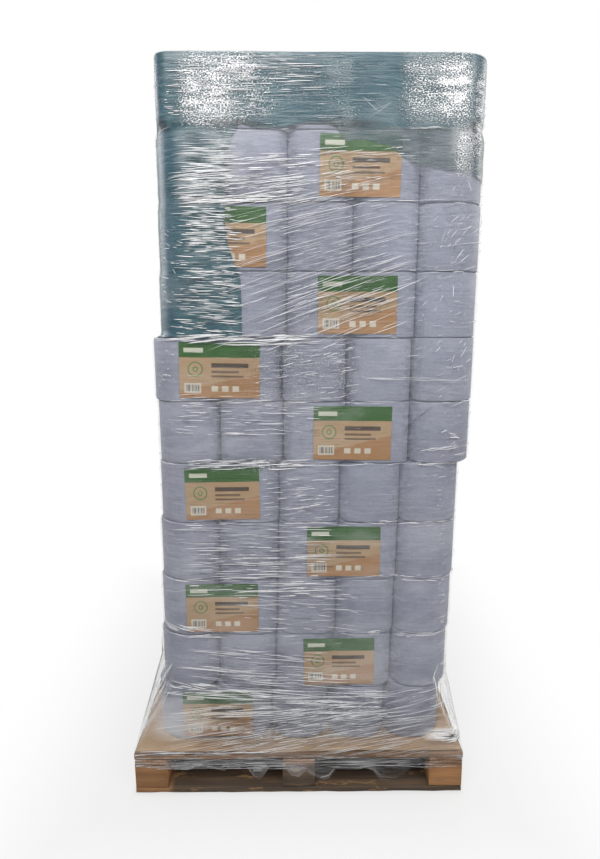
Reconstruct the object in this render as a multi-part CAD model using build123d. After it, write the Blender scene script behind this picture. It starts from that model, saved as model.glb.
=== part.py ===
"""A pallet load of paper wiper rolls, bound for transport. Sizes are in millimetres.

Six-roll packs stand in eleven crossed layers on a slip sheet and a wooden block pallet. A tinted
top sheet hangs over the upper layers, and clear stretch film ties the load down to the pallet.
The origin is on the floor under the middle of the pallet, +Z is up, and the front, which is a
short side of the pallet, faces -Y.
"""

import os
from math import cos, radians, sin

from build123d import *

# Rolls, which stand on end, six to a pack
roll_diameter = 179.4
roll_gap = 0.6
roll_height = 177.0
rolls_along_pack = 3
rolls_across_pack = 2

# Stack: five rolls wide, six deep, each layer turned half round on the one below. The load has
# settled sideways, and a shift is the share of a roll that its layer stands right of the pallet.
# From the straight layer on, counted from 0 at the foot, the stack is upright. A pack's wrap leaves
# the front of a roll at the wrap angle, in degrees from straight out
columns = 5
rows = 6
layers = 11
layer_gap = 0.5
wrap_angle = 28.0
layer_shift_shares = (0.02, 0.095, 0.135, 0.17, 0.205, 0.25, 0.285, 0.33, 0.335, 0.335, 0.33)
straight_layer = 7

# Labels, one on the long side of each pack that faces out
label_width = 217.0
label_height = 154.0
label_thickness = 0.3
label_offset = 76.0
label_seat = 0.1

# Slip sheet of board between the pallet and the load
slip_thickness = 4.0
slip_inset = 5.0

# Pallet: sawn boards and blocks with a closed rim of boards underneath
side_margin = 50.0
end_margin = 60.0
deck_thickness = 20.0
deck_board_width = 120.0
deck_board_count = 7
leader_thickness = 20.0
leader_width = 100.0
block_width = 100.0
block_length = 145.0
block_height = 78.0
base_thickness = 18.0
base_board_width = 100.0

# Tinted top sheet. A drop is counted in layers, from the top of the load down to the hem, and a
# reach is the share of a side that a long corner takes. Corners run round from the front left
sheet_thickness = 0.6
sheet_clearance = 5.0
sheet_seat = 0.3
hem_point_count = 9
corner_drop_shares = (4.0, 1.95, 3.1, 2.6)
corner_reach_shares = (0.34, 0.55, 0.36, 0.4)
side_drop_shares = (1.0, 1.1, 1.0, 1.2)

# Clear stretch film: down the load, flared to the rim of the pallet, and lapped over the top. The
# last turn of film laps over the tube at the neck, where the flare starts, in flat corner facets
film_thickness = 1.0
film_clearance = 7.0
film_seat = 0.3
flare_height = 290.0
neck_lap = 0.5
neck_facet_count = 3
hem_lift = 2.0
lap_width = 85.0

# One overrun carries every cut past the faces that it opens
overrun = 20.0

roll_pitch = roll_diameter + roll_gap
layer_pitch = roll_height + layer_gap
load_width = columns * roll_pitch
load_length = rows * roll_pitch
load_height = layers * layer_pitch - layer_gap
corner_radius = roll_diameter / 2
pallet_width = load_width + 2 * side_margin
pallet_length = load_length + 2 * end_margin
block_bottom = base_thickness
leader_bottom = block_bottom + block_height
deck_bottom = leader_bottom + leader_thickness
deck_top = deck_bottom + deck_thickness
load_bottom = deck_top + slip_thickness + layer_gap / 2
load_top = load_bottom + load_height
sheet_top = load_top + sheet_seat + sheet_thickness
film_top = sheet_top + film_seat + film_thickness
first_middle = load_bottom + roll_height / 2
straight_level = first_middle + straight_layer * layer_pitch


def slab(width, length, height, x, y, bottom):
    """A sawn piece, centred on x and y, that stands on the level given."""
    return Pos(x, y, bottom) * Box(width, length, height, align=(Align.CENTER, Align.CENTER, Align.MIN))


def shift_at(level):
    """How far the load stands right of the middle of the pallet: even from layer to layer."""
    count = (level - first_middle) / layer_pitch
    count = min(max(count, 0), layers - 1)
    below = min(int(count), layers - 2)
    start, end = layer_shift_shares[below], layer_shift_shares[below + 1]
    return roll_pitch * (start + (end - start) * (count - below))


def load_outline(level, grow):
    """The plan of the load at a level, grown on every side, with a roll's radius at the corners."""
    plan = RectangleRounded(load_width + 2 * grow, load_length + 2 * grow, corner_radius + grow)
    return Pos(shift_at(level), 0, level) * plan


def load_outlines(bottom, top, grow):
    """The plans of the load at two levels, and at the one between them where it turns upright."""
    return [load_outline(level, grow) for level in (bottom, straight_level, top)]


def pallet_parts():
    """Deck boards across the pallet, three leaders along it, nine blocks and a rim of base boards."""
    parts = {}
    deck_step = (pallet_length - deck_board_width) / (deck_board_count - 1)
    for number in range(deck_board_count):
        y = (deck_board_width - pallet_length) / 2 + number * deck_step
        board = slab(pallet_width, deck_board_width, deck_thickness, 0, y, deck_bottom)
        parts[f"deck_board_{number + 1}"] = board
    side_x = (pallet_width - block_width) / 2
    end_y = (pallet_length - block_length) / 2
    for side, x in (("left", -side_x), ("middle", 0), ("right", side_x)):
        leader_x = x * (pallet_width - leader_width) / (pallet_width - block_width)
        parts[f"leader_board_{side}"] = slab(
            leader_width, pallet_length, leader_thickness, leader_x, 0, leader_bottom
        )
        for place, y in (("front", -end_y), ("middle", 0), ("rear", end_y)):
            block = slab(block_width, block_length, block_height, x, y, block_bottom)
            parts[f"block_{place}_{side}"] = block
        base_x = x * (pallet_width - base_board_width) / (pallet_width - block_width)
        parts[f"base_board_{side}"] = slab(
            base_board_width, pallet_length - 2 * base_board_width, base_thickness, base_x, 0, 0
        )
    rim_y = (pallet_length - base_board_width) / 2
    for place, y in (("front", -rim_y), ("rear", rim_y)):
        parts[f"base_board_{place}"] = slab(pallet_width, base_board_width, base_thickness, 0, y, 0)
    return parts


def slip_sheet():
    """The flat board that the load stands on."""
    width = pallet_width - 2 * slip_inset
    length = pallet_length - 2 * slip_inset
    return slab(width, length, slip_thickness, 0, 0, deck_top)


def layer_pattern():
    """First column, first row, columns and rows of each pack: three lie across and two lie along."""
    across = [
        (0, row, rolls_along_pack, rolls_across_pack)
        for row in range(0, rows, rolls_across_pack)
    ]
    along = [
        (rolls_along_pack, row, rolls_across_pack, rolls_along_pack)
        for row in range(0, rows, rolls_along_pack)
    ]
    return across + along


def rim_rolls():
    """Column, row and first facing side, as an angle, of the rolls that show, once round the layer. A
    corner roll also faces the next side."""
    rolls = [(column, 0, 270) for column in range(1, columns)]
    rolls += [(columns - 1, row, 0) for row in range(1, rows)]
    rolls += [(column, rows - 1, 90) for column in reversed(range(columns - 1))]
    rolls += [(0, row, 180) for row in reversed(range(rows - 1))]
    return rolls


def layer_plan():
    """The plan of a whole layer: the round fronts of the rolls that show, and between them the wrap,
    which leaves each roll in a straight line and is drawn into the hollow."""
    fronts = []
    for column, row, side in rim_rolls():
        corner = column in (0, columns - 1) and row in (0, rows - 1)
        x = (column + 0.5) * roll_pitch - load_width / 2
        y = (row + 0.5) * roll_pitch - load_length / 2
        sweep = 2 * wrap_angle + (90 if corner else 0)
        fronts.append(CenterArc((x, y), roll_diameter / 2, side - wrap_angle, sweep))
    hollow_run = (roll_pitch - roll_diameter * sin(radians(wrap_angle))) / 2 / cos(radians(wrap_angle))
    edges = []
    for front, following in zip(fronts, fronts[1:] + fronts[:1]):
        floor = front @ 1 + (front % 1) * hollow_run
        edges += [*front.edges(), *Polyline(front @ 1, floor, following @ 0).edges()]
    return make_face(edges)


def pack_cell(first_column, first_row, pack_columns, pack_rows):
    """The part of a layer that one pack fills. It stops half a gap short of the next pack."""
    last_column = first_column + pack_columns
    last_row = first_row + pack_rows
    inset = roll_gap / 2
    left = first_column * roll_pitch + (inset if first_column > 0 else -overrun)
    right = last_column * roll_pitch - (inset if last_column < columns else -overrun)
    front = first_row * roll_pitch + (inset if first_row > 0 else -overrun)
    rear = last_row * roll_pitch - (inset if last_row < rows else -overrun)
    x = (left + right - load_width) / 2
    y = (front + rear - load_length) / 2
    return Pos(x, y) * Rectangle(right - left, rear - front)


def layer_place(number):
    """Where layer number stands, counted from 0 at the foot. Every second one is turned half round."""
    bottom = load_bottom + number * layer_pitch
    return Pos(layer_shift_shares[number] * roll_pitch, 0, bottom) * Rot(0, 0, 180 * (number % 2))


def pack_layer(number):
    """The five packs of one layer."""
    whole = layer_plan()
    packs = [extrude(whole & pack_cell(*place), roll_height) for place in layer_pattern()]
    return Compound([layer_place(number) * pack for pack in packs])


def label_plate(face_turn, wall, along):
    """A label on the wall that the turn about +Z brings to the front, at a place along that wall."""
    reach = wall - roll_gap / 2 + label_seat
    bottom = (roll_height - label_height) / 2
    plate = slab(label_width, label_thickness, label_height, along, -reach - label_thickness / 2, bottom)
    return Rot(0, 0, face_turn) * plate


def label_layer(number):
    """The labels of one layer: one in front, one behind and two on the side of the packs laid along.
    Seen from outside, each sits left of the middle of its pack."""
    end_middle = (load_width - rolls_along_pack * roll_pitch) / 2
    side_middle = (load_length - rolls_along_pack * roll_pitch) / 2
    labels = [
        label_plate(0, load_length / 2, -end_middle - label_offset),
        label_plate(180, load_length / 2, end_middle - label_offset),
        label_plate(90, load_width / 2, -side_middle - label_offset),
        label_plate(90, load_width / 2, side_middle - label_offset),
    ]
    return Compound([layer_place(number) * label for label in labels])


def eased(share):
    """0 at 0 and 1 at 1, level at both ends."""
    share = min(max(share, 0), 1)
    return share * share * (3 - 2 * share)


def hem_drop(share, side):
    """How far the hem of a side hangs, in layers, at a share of the way to its far corner."""
    drop = side_drop_shares[side]
    far = (side + 1) % len(corner_drop_shares)
    for corner, away in ((side, share), (far, 1 - share)):
        extra = corner_drop_shares[corner] - side_drop_shares[side]
        drop += extra * (1 - eased(away / corner_reach_shares[corner]))
    return drop


def hem_cutter(side, span, depth):
    """What is cut away under the hem of one side: drawn from its near corner to its far one, in a
    plane across +Y, and carried towards -Y by depth."""
    shares = [number / (hem_point_count - 1) for number in range(hem_point_count)]
    points = [((share - 0.5) * span, load_top - layer_pitch * hem_drop(share, side)) for share in shares]
    floor = load_top - layer_pitch * max(corner_drop_shares) - 2 * overrun
    first, last = points[0], points[-1]
    hem = Spline(*points)
    ends = Polyline(last, (last[0], floor), (first[0], floor), first)
    return extrude(Plane.XZ * make_face([*hem.edges(), *ends.edges()]), depth)


def top_sheet():
    """The tinted sheet: flat on the top layer, down all four sides, longest at the corners."""
    low = load_top - layer_pitch * max(corner_drop_shares) - overrun
    outside = sheet_clearance + sheet_thickness
    outer = loft(load_outlines(low, sheet_top, outside), ruled=True)
    inner = loft(load_outlines(low, load_top + sheet_seat, sheet_clearance), ruled=True)
    sheet = outer - inner
    middle = shift_at(load_top)
    across = load_width + 2 * (outside + overrun)
    along = load_length - 2 * corner_radius
    end_y = load_length / 2 - corner_radius
    side_x = load_width / 2 - corner_radius
    depth = corner_radius + outside + overrun
    sides = (
        (across, Pos(middle, -end_y, 0)),
        (along, Pos(middle + side_x, 0, 0) * Rot(0, 0, 90)),
        (across, Pos(middle, end_y, 0) * Rot(0, 0, 180)),
        (along, Pos(middle - side_x, 0, 0) * Rot(0, 0, 270)),
    )
    for side, (span, place) in enumerate(sides):
        sheet -= place * hem_cutter(side, span, depth)
    return sheet


def corner_ring(width, length, radius, x, level):
    """The corners of a plan with flat facets, which touch its round corners from outside."""
    turn = 90 / neck_facet_count
    reach = radius / cos(radians(turn / 2))
    ring = []
    for quarter, (side, end) in enumerate(((1, 1), (-1, 1), (-1, -1), (1, -1))):
        middle_x = x + side * (width / 2 - radius)
        middle_y = end * (length / 2 - radius)
        for number in range(neck_facet_count):
            angle = radians(90 * quarter + turn * (number + 0.5))
            ring.append((middle_x + reach * cos(angle), middle_y + reach * sin(angle), level))
    return ring


def faceted_body(rings):
    """A solid with flat faces from ring to ring, closed flat at both ends."""
    faces = [Face(Wire.make_polygon(rings[0])), Face(Wire.make_polygon(rings[-1]))]
    for low, high in zip(rings, rings[1:]):
        for point in range(len(low)):
            corners = [low[point - 1], low[point], high[point], high[point - 1]]
            faces.append(Face(Wire.make_polygon(corners)))
    return Solid(Shell(faces))


def film_body(load_grow, rim_grow, neck, top):
    """All that lies inside the film, as a solid: a tube that stands on the neck level round the load,
    and a skirt that leans out from there to the rim of the pallet and hangs down past the deck."""
    hem = leader_bottom + hem_lift
    rim = (pallet_width + 2 * rim_grow, pallet_length + 2 * rim_grow, rim_grow)
    neck_grow = load_grow + neck_lap
    waist = (load_width + 2 * neck_grow, load_length + 2 * neck_grow, corner_radius + neck_grow)
    skirt = faceted_body([
        corner_ring(*rim, 0, hem),
        corner_ring(*rim, 0, load_bottom),
        corner_ring(*waist, shift_at(neck), neck),
    ])
    return skirt + loft(load_outlines(neck, top, load_grow), ruled=True)


def stretch_film():
    """The clear film: a tube that follows the load, flared below to the rim of the pallet, turned
    down over the deck and leaders, and lapped over the top edge of the load."""
    neck = load_bottom + flare_height
    inner_top = film_top - film_thickness
    outer = film_body(film_clearance + film_thickness, film_seat + film_thickness, neck, film_top)
    inner = film_body(film_clearance, film_seat, neck - film_thickness, inner_top)
    mouth = extrude(load_outline(inner_top - overrun, -lap_width), 2 * overrun)
    return outer - inner - mouth


def all_parts():
    """Every piece of the load by its name."""
    parts = pallet_parts()
    parts["slip_sheet"] = slip_sheet()
    for number in range(layers):
        parts[f"pack_layer_{number + 1:02d}"] = pack_layer(number)
        parts[f"label_layer_{number + 1:02d}"] = label_layer(number)
    parts["top_sheet"] = top_sheet()
    parts["stretch_film"] = stretch_film()
    return parts


os.makedirs("parts", exist_ok=True)
for name, shape in all_parts().items():
    export_step(shape, f"parts/{name}.step")
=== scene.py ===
# %% [markdown]
# # A wrapped pallet load of paper rolls
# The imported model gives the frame: a pallet, eleven layers of roll packs, a tinted top sheet and the
# film round it all, each at its real size. This lesson dresses that frame. Each step says what the
# piece is on the real load, how it could be made, and why it is made this way here.

# %% Load the frame
import math

import bpy
import numpy as np
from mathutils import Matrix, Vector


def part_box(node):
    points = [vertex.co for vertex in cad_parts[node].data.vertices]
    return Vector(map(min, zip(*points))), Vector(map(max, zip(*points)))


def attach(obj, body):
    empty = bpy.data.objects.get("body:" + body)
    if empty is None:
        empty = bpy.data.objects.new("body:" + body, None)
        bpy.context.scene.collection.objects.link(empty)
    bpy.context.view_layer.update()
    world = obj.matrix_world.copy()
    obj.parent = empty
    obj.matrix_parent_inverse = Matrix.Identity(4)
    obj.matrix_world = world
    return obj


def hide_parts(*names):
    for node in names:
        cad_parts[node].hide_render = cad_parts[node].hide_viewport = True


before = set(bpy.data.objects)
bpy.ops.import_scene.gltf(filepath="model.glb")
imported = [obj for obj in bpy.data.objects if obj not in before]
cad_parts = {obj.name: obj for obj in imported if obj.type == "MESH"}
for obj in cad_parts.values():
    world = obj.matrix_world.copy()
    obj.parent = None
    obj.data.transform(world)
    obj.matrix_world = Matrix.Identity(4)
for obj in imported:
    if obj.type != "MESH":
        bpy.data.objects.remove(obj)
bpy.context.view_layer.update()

# %% [markdown]
# ## Camera
# The camera comes first, because every later step is compared with the picture from this place.
# It stands a little over two metres in front of the middle of the load, at chest height, and looks a
# little down. The focal length is written in picture points, as a fit to the picture gives it, and
# turned into a lens here.

# %% Camera
image_width, image_height = 600, 859
focal_points = 600.0
sensor_size = 36.0
camera_place = (-0.0104, -2.2024, 1.4494)
camera_pitch = math.radians(10.969)
camera_yaw = math.radians(-0.493)

camera_data = bpy.data.cameras.new("camera")
camera_data.sensor_width = sensor_size
camera_data.lens = sensor_size * focal_points / image_height
camera = bpy.data.objects.new("camera", camera_data)
camera.location = camera_place
camera.rotation_euler = (math.pi / 2 - camera_pitch, 0, camera_yaw)
bpy.context.scene.collection.objects.link(camera)
bpy.context.scene.camera = camera
print("lens", round(camera_data.lens, 3), "mm")

# %% [markdown]
# ## From numbers to meshes
# A surface here is a grid of points worked out as whole arrays. These helpers turn such a grid into a
# mesh: one numbers the faces, one writes the mesh with its UV map and its point values, and one makes
# soft random heights, for creases and dents that look the same on each run.


# %% Grid helpers
def grid_faces(rows, columns, closed=False):
    """Corner numbers of a grid's faces. Rows run down and columns run round to the left as seen from
    above, so faces point outwards. A closed grid joins its last column to the first."""
    cells = columns if closed else columns - 1
    row, column = np.meshgrid(np.arange(rows - 1), np.arange(cells), indexing="ij")
    after = (column + 1) % columns
    corners = [row * columns + column, (row + 1) * columns + column]
    corners += [(row + 1) * columns + after, row * columns + after]
    return np.stack(corners, -1).reshape(-1, 4)


def soft_noise(u, v, cells_u, cells_v, seed):
    """Random heights from -1 to 1 on a lattice, eased from point to point. u and v run from 0 to 1,
    and u closes on itself."""
    table = np.random.default_rng(seed).uniform(-1, 1, (cells_v + 2, cells_u))
    x, y = (u % 1.0) * cells_u, np.clip(v, 0, 1) * cells_v
    column, row = np.floor(x).astype(int), np.floor(y).astype(int)
    s, t = x - column, y - row
    s, t = s * s * (3 - 2 * s), t * t * (3 - 2 * t)
    left, right = column % cells_u, (column + 1) % cells_u
    upper = table[row, left] * (1 - s) + table[row, right] * s
    lower = table[row + 1, left] * (1 - s) + table[row + 1, right] * s
    return upper * (1 - t) + lower * t


def eased(low, high, value):
    """0 up to low, 1 from high on, and level at both ends."""
    share = np.clip((value - low) / (high - low), 0, 1)
    return share * share * (3 - 2 * share)


def put_piece(name, points, faces, materials, corner_uv=None, values=None, face_slots=None, normals=None):
    """A mesh object at the origin from points, faces, one UV pair per face corner, named values per
    point and, where the shading is worked out too, normals. It rides on the load's one body."""
    mesh = bpy.data.meshes.new(name)
    mesh.from_pydata(np.reshape(points, (-1, 3)).tolist(), [], faces)
    mesh.polygons.foreach_set("use_smooth", np.ones(len(mesh.polygons), bool))
    if corner_uv is not None:
        layer = mesh.uv_layers.new(name="UVMap")
        layer.data.foreach_set("uv", np.ravel(corner_uv).astype(np.float32))
    for key, value in (values or {}).items():
        attribute = mesh.attributes.new(key, "FLOAT", "POINT")
        attribute.data.foreach_set("value", np.ravel(value).astype(np.float32))
    for material in materials:
        mesh.materials.append(material)
    if face_slots is not None:
        mesh.polygons.foreach_set("material_index", np.ravel(face_slots).astype(np.int32))
    mesh.update()
    if normals is not None:
        mesh.normals_split_custom_set_from_vertices(np.reshape(normals, (-1, 3)).tolist())
    piece = bpy.data.objects.new(name, mesh)
    bpy.context.scene.collection.objects.link(piece)
    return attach(piece, "root")


# %% [markdown]
# ## Finishes
# Every finish is a small node tree on one Principled shader. The class below keeps the trees short:
# each method adds one node and hands back its output, so a finish reads like a recipe.


# %% Finish helper
def paint(red, green, blue):
    """A picture colour, 0 to 255, as the linear colour that a shader takes."""
    tones = np.array((red, green, blue)) / 255
    linear = np.where(tones <= 0.04045, tones / 12.92, ((tones + 0.055) / 1.055) ** 2.4)
    return (*linear.tolist(), 1.0)


class Finish:
    """A material under construction. Every method adds one node and gives back its output."""

    def __init__(self, name, **sockets):
        self.material = bpy.data.materials.new(name)
        self.material.use_nodes = True
        self.tree = self.material.node_tree
        self.tree.nodes.clear()
        self.shader = self.tree.nodes.new("ShaderNodeBsdfPrincipled")
        output = self.tree.nodes.new("ShaderNodeOutputMaterial")
        self.tree.links.new(self.shader.outputs[0], output.inputs["Surface"])
        for key, value in sockets.items():
            self.set(key.replace("_", " "), value)

    def feed(self, socket, value):
        if isinstance(value, bpy.types.NodeSocket):
            self.tree.links.new(value, socket)
        else:
            socket.default_value = value

    def set(self, name, value):
        self.feed(self.shader.inputs[name], value)

    def node(self, kind, inputs, output=0, **settings):
        made = self.tree.nodes.new("ShaderNode" + kind)
        for key, value in settings.items():
            setattr(made, key, value)
        for key, value in inputs.items():
            self.feed(made.inputs[key], value)
        return made.outputs[output]

    def math(self, operation, *values):
        return self.node("Math", dict(enumerate(values)), operation=operation)

    def place(self, which="Object"):
        return self.node("TexCoord", {}, output=which)

    def stretched(self, vector, scale, shift=(0, 0, 0), turn=(0, 0, 0)):
        return self.node("Mapping", {"Vector": vector, "Scale": scale, "Location": shift, "Rotation": turn})

    def noise(self, vector, scale, detail=2.0, roughness=0.5):
        inputs = {"Vector": vector, "Scale": scale, "Detail": detail, "Roughness": roughness}
        return self.node("TexNoise", inputs)

    def value(self, name):
        return self.node("Attribute", {}, output="Fac", attribute_name=name)

    def span(self, value, low, high, to_low=0.0, to_high=1.0):
        inputs = {"Value": value, "From Min": low, "From Max": high, "To Min": to_low, "To Max": to_high}
        return self.node("MapRange", inputs, interpolation_type="SMOOTHSTEP")

    def blend(self, share, first, second):
        return self.node("Mix", {0: share, 6: first, 7: second}, output=2, data_type="RGBA")

    def bump(self, height, strength, distance):
        inputs = {"Height": height, "Strength": strength, "Distance": distance}
        self.set("Normal", self.node("Bump", inputs))


# %% [markdown]
# ## The stack
# The load is five rolls wide, six deep and eleven layers high, and it leans a little to the right, so
# the place of each layer is read from its node's box. The plan of the load is a rectangle with a
# roll's radius at its corners. Film and sheet are wound round that plan, so it is written once, as a
# function of the way round, for any size of rectangle. No stack is true: the outer rolls of each layer
# have moved by up to two centimetres. One function gives where a place across the load has settled to,
# and rolls, labels and wrapping all use it, so they stay together.

# %% Sizes of the stack
columns, rows, layers = 5, 6, 11
roll_pitch = 0.180
roll_radius = 0.0897
roll_height = 0.177
half_width = columns * roll_pitch / 2
half_length = rows * roll_pitch / 2

layer_boxes = [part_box(f"pack_layer_{number + 1:02d}") for number in range(layers)]
layer_x = np.array([(low.x + high.x) / 2 for low, high in layer_boxes])
layer_bottom = np.array([low.z for low, high in layer_boxes])
layer_middle = layer_bottom + roll_height / 2
layer_pitch = layer_bottom[1] - layer_bottom[0]
load_top = layer_boxes[-1][1].z
print("layers stand right by", np.round(layer_x * 1000).astype(int).tolist(), "mm")


# %% Plan of the load
flat_width, flat_length = half_width - roll_radius, half_length - roll_radius
quarter_round = math.pi / 2 * roll_radius
side_runs = [flat_width, quarter_round, 2 * flat_length, quarter_round, 2 * flat_width]
side_runs += [quarter_round, 2 * flat_length, quarter_round, flat_width]
way_marks = np.concatenate([[0.0], np.cumsum(side_runs)])
way_round = way_marks[-1]
way_marks = way_marks / way_round
plan_angles = np.radians([90, 90, 180, 180, 270, 270, 360, 360, 450, 450])
plan_side = np.array([0, -1, -1, -1, -1, 1, 1, 1, 1, 0])
plan_end = np.array([1, 1, 1, -1, -1, -1, -1, 1, 1, 1])


def plan_point(u, half_x, half_y, radius):
    """A point of a rectangle with round corners and its outward direction. u runs from 0 to 1, from
    the middle of the rear round by the left, the front and the right."""
    angle = np.interp(u, way_marks, plan_angles)
    x = np.interp(u, way_marks, plan_side) * (half_x - radius) + radius * np.cos(angle)
    y = np.interp(u, way_marks, plan_end) * (half_y - radius) + radius * np.sin(angle)
    return x, y, np.cos(angle), np.sin(angle)


# %% How the stack has settled
left_moves = np.array([4, 6, 5, 3, 2, -4, -17, 1, 4, 7, 22]) / 1000
right_moves = np.array([-3, -1, -4, -6, -12, 7, 3, -6, -6, -8, -20]) / 1000
joint_half = 0.009
joint_draw, joint_reach, joint_even = 0.0018, 0.011, 0.65
layer_ends = np.stack([layer_bottom + joint_half, layer_bottom + roll_height - joint_half], -1).ravel()


def settled(x, z):
    """Where a place across the load has settled to, at a height. x is counted from the middle of an
    even stack. Each layer has its own shift, and its left and right rolls have moved by their own."""
    def at(values):
        return np.interp(z, layer_ends, np.repeat(values, 2))

    across = np.clip((x + flat_width) / (2 * flat_width), 0, 1)
    return x + at(layer_x) + at(left_moves) * (1 - across) + at(right_moves) * across


def joint_dip(u, z):
    """How far wrapping is drawn in at the joints between layers, more here and less there."""
    level = (z - layer_bottom[0]) / layer_pitch
    away = (level - np.round(level)) * layer_pitch
    inner = (level > 0.5) & (level < layers - 0.5)
    uneven = joint_even + (1 - joint_even) * soft_noise(u, z / 3, 40, 16, 41)
    return inner * joint_draw * np.exp(-((away / joint_reach) ** 2)) * uneven


print("way round the load", round(way_round, 3), "m")

# %% [markdown]
# ## Paper rolls
# The load is made of soft rolls of embossed paper, which stand on end and press against each other.
# A cylinder would look hard, so a roll is a surface of two parameters: the way round, on a plan
# between a circle and a square, and the way down a profile with soft shoulders. The lower layers are
# rounder, as their lower edges show, and the normals are given, so that a side shades as one surface.
# Each layer is one mesh. Only the rolls that show are made: those round the rim, and all of the top.

# %% Paper finish
paper = Finish("rolled_paper", Roughness=0.62)
paper_place = paper.place()
paper_mottle = paper.noise(paper.stretched(paper_place, (1, 1, 1.6)), 9.0, 3.0)
paper_wind = paper.noise(paper.stretched(paper_place, (5, 5, 240)), 1.0, 2.0)
paper_grain = paper.noise(paper.stretched(paper_place, (1, 1, 1.5)), 300.0, 2.0, 0.6)
paper_tone = paper.blend(
    paper.span(paper_mottle, 0.3, 0.7), paint(131, 134, 147), paint(146, 149, 162)
)
paper_bands = paper.span(paper_wind, 0.35, 0.75, 0.0, 0.35)
paper_tone = paper.blend(paper_bands, paper_tone, paint(156, 158, 170))
paper_pits = paper.span(paper_grain, 0.56, 0.36, 0.0, 0.4)
paper.set("Base Color", paper.blend(paper_pits, paper_tone, paint(112, 116, 134)))
paper_height = paper.math("ADD", paper.math("MULTIPLY", paper_wind, 0.6), paper_grain)
paper.bump(paper_height, 0.35, 0.002)
paper.set("Sheen Weight", 0.15)
print("paper finish,", len(paper.tree.nodes), "nodes")

# %% Roll shape
roll_segments = 20
foot_power, top_power, free_power = 2.5, 4.4, 2.0
shoulder = 0.004
bore_radius = 0.028
bore_depth, bore_lip = 0.03, 0.001
roll_slack, oval_waver, three_waver = 0.998, 0.004, 0.003
roll_sag = 0.012


def roll_profile(bored):
    """Inset from the roll's radius, height and upward lean of the normal of each ring, from the top down:
    over the soft shoulder, down the side and round the lower shoulder. A bored top also has the rings of
    its hole."""
    insets = np.array([shoulder, 0, 0, shoulder])
    heights = np.array([roll_height, roll_height - shoulder, shoulder, 0])
    leans = np.array([1.0, 0, 0, -1.0])
    if bored:
        insets = np.concatenate([[roll_radius - bore_radius] * 2, insets])
        heights = np.concatenate([[roll_height - bore_depth, roll_height - bore_lip], heights])
        leans = np.concatenate([[1.0, 1.0], leans])
    return insets, heights, leans


def rolls_mesh(centres, sides, bottom, plan_power, bored, seed):
    """Points, normals and faces of several rolls. A ring is a squared circle, with |cos t|^(2/n) and
    |sin t|^(2/n) across and along, times the roll's radius less the inset, times a slight waver. n is the
    plan's power, but that of a round roll in the quarter that looks out over a corner of the load."""
    random = np.random.default_rng(seed)
    insets, heights, leans = (values[None, :, None] for values in roll_profile(bored))
    turn = np.linspace(0, 2 * math.pi, roll_segments, endpoint=False) + math.pi / roll_segments
    cosine, sine = np.cos(turn), np.sin(turn)
    free = (cosine * sides[:, :1] > 0) & (sine * sides[:, 1:] > 0)
    power = 2 / np.where(free, free_power, plan_power)
    across, along = np.sign(cosine) * np.abs(cosine) ** power, np.sign(sine) * np.abs(sine) ** power
    phase = random.uniform(0, 2 * math.pi, (len(centres), 2, 1))
    oval, three = np.sin(2 * turn + phase[:, 0]), np.sin(3 * turn + phase[:, 1])
    waver = roll_slack + oval_waver * oval + three_waver * three
    tall = 1 - random.uniform(0, roll_sag, (len(centres), 1, 1))
    reach = (roll_radius - insets) * np.minimum(waver, 1.0)[:, None, :]
    x = centres[:, 0][:, None, None] + reach * across[:, None, :]
    y = centres[:, 1][:, None, None] + reach * along[:, None, :]
    z = np.broadcast_to(bottom + heights * tall, x.shape)
    points = np.stack([x, y, z], -1)
    lean_x = np.sign(cosine) * np.abs(cosine) ** (2 - power)
    lean_y = np.sign(sine) * np.abs(sine) ** (2 - power)
    level = (1 - np.abs(leans)) / np.hypot(lean_x, lean_y)[:, None, :]
    normals = np.stack([
        level * lean_x[:, None, :], level * lean_y[:, None, :], np.broadcast_to(leans, x.shape)
    ], -1)
    rings = x.shape[1]
    body = grid_faces(rings, roll_segments, closed=True)
    starts = np.arange(len(centres)) * rings * roll_segments
    faces = (body[None] + starts[:, None, None]).reshape(-1, 4).tolist()
    ring = np.arange(roll_segments)
    faces += (ring[None] + starts[:, None]).tolist()
    faces += (ring[None, ::-1] + starts[:, None] + (rings - 1) * roll_segments).tolist()
    return points, normals, faces


# %% Rolls of each layer
column_index, row_index = np.meshgrid(np.arange(columns), np.arange(rows), indexing="ij")
column_side = (column_index == columns - 1) * 1 - (column_index == 0)
row_side = (row_index == rows - 1) * 1 - (row_index == 0)
on_rim = (column_side != 0) | (row_side != 0)
roll_count = 0
for number in range(layers):
    top_layer = number == layers - 1
    shown = np.full_like(on_rim, True) if top_layer else on_rim
    x = settled((column_index[shown] + 0.5) * roll_pitch - half_width, layer_middle[number])
    y = (row_index[shown] + 0.5) * roll_pitch - half_length
    sides = np.stack([column_side[shown], row_side[shown]], -1)
    centres = np.stack([x, y], -1)
    plan_power = np.interp(number, [0, layers // 2], [foot_power, top_power])
    points, normals, faces = rolls_mesh(
        centres, sides, layer_bottom[number], plan_power, top_layer, 100 + number
    )
    layer = put_piece(f"rolls_{number + 1:02d}", points, faces, [paper.material], normals=normals)
    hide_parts(f"pack_layer_{number + 1:02d}")
    roll_count += len(x)
print(roll_count, "rolls show")
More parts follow.
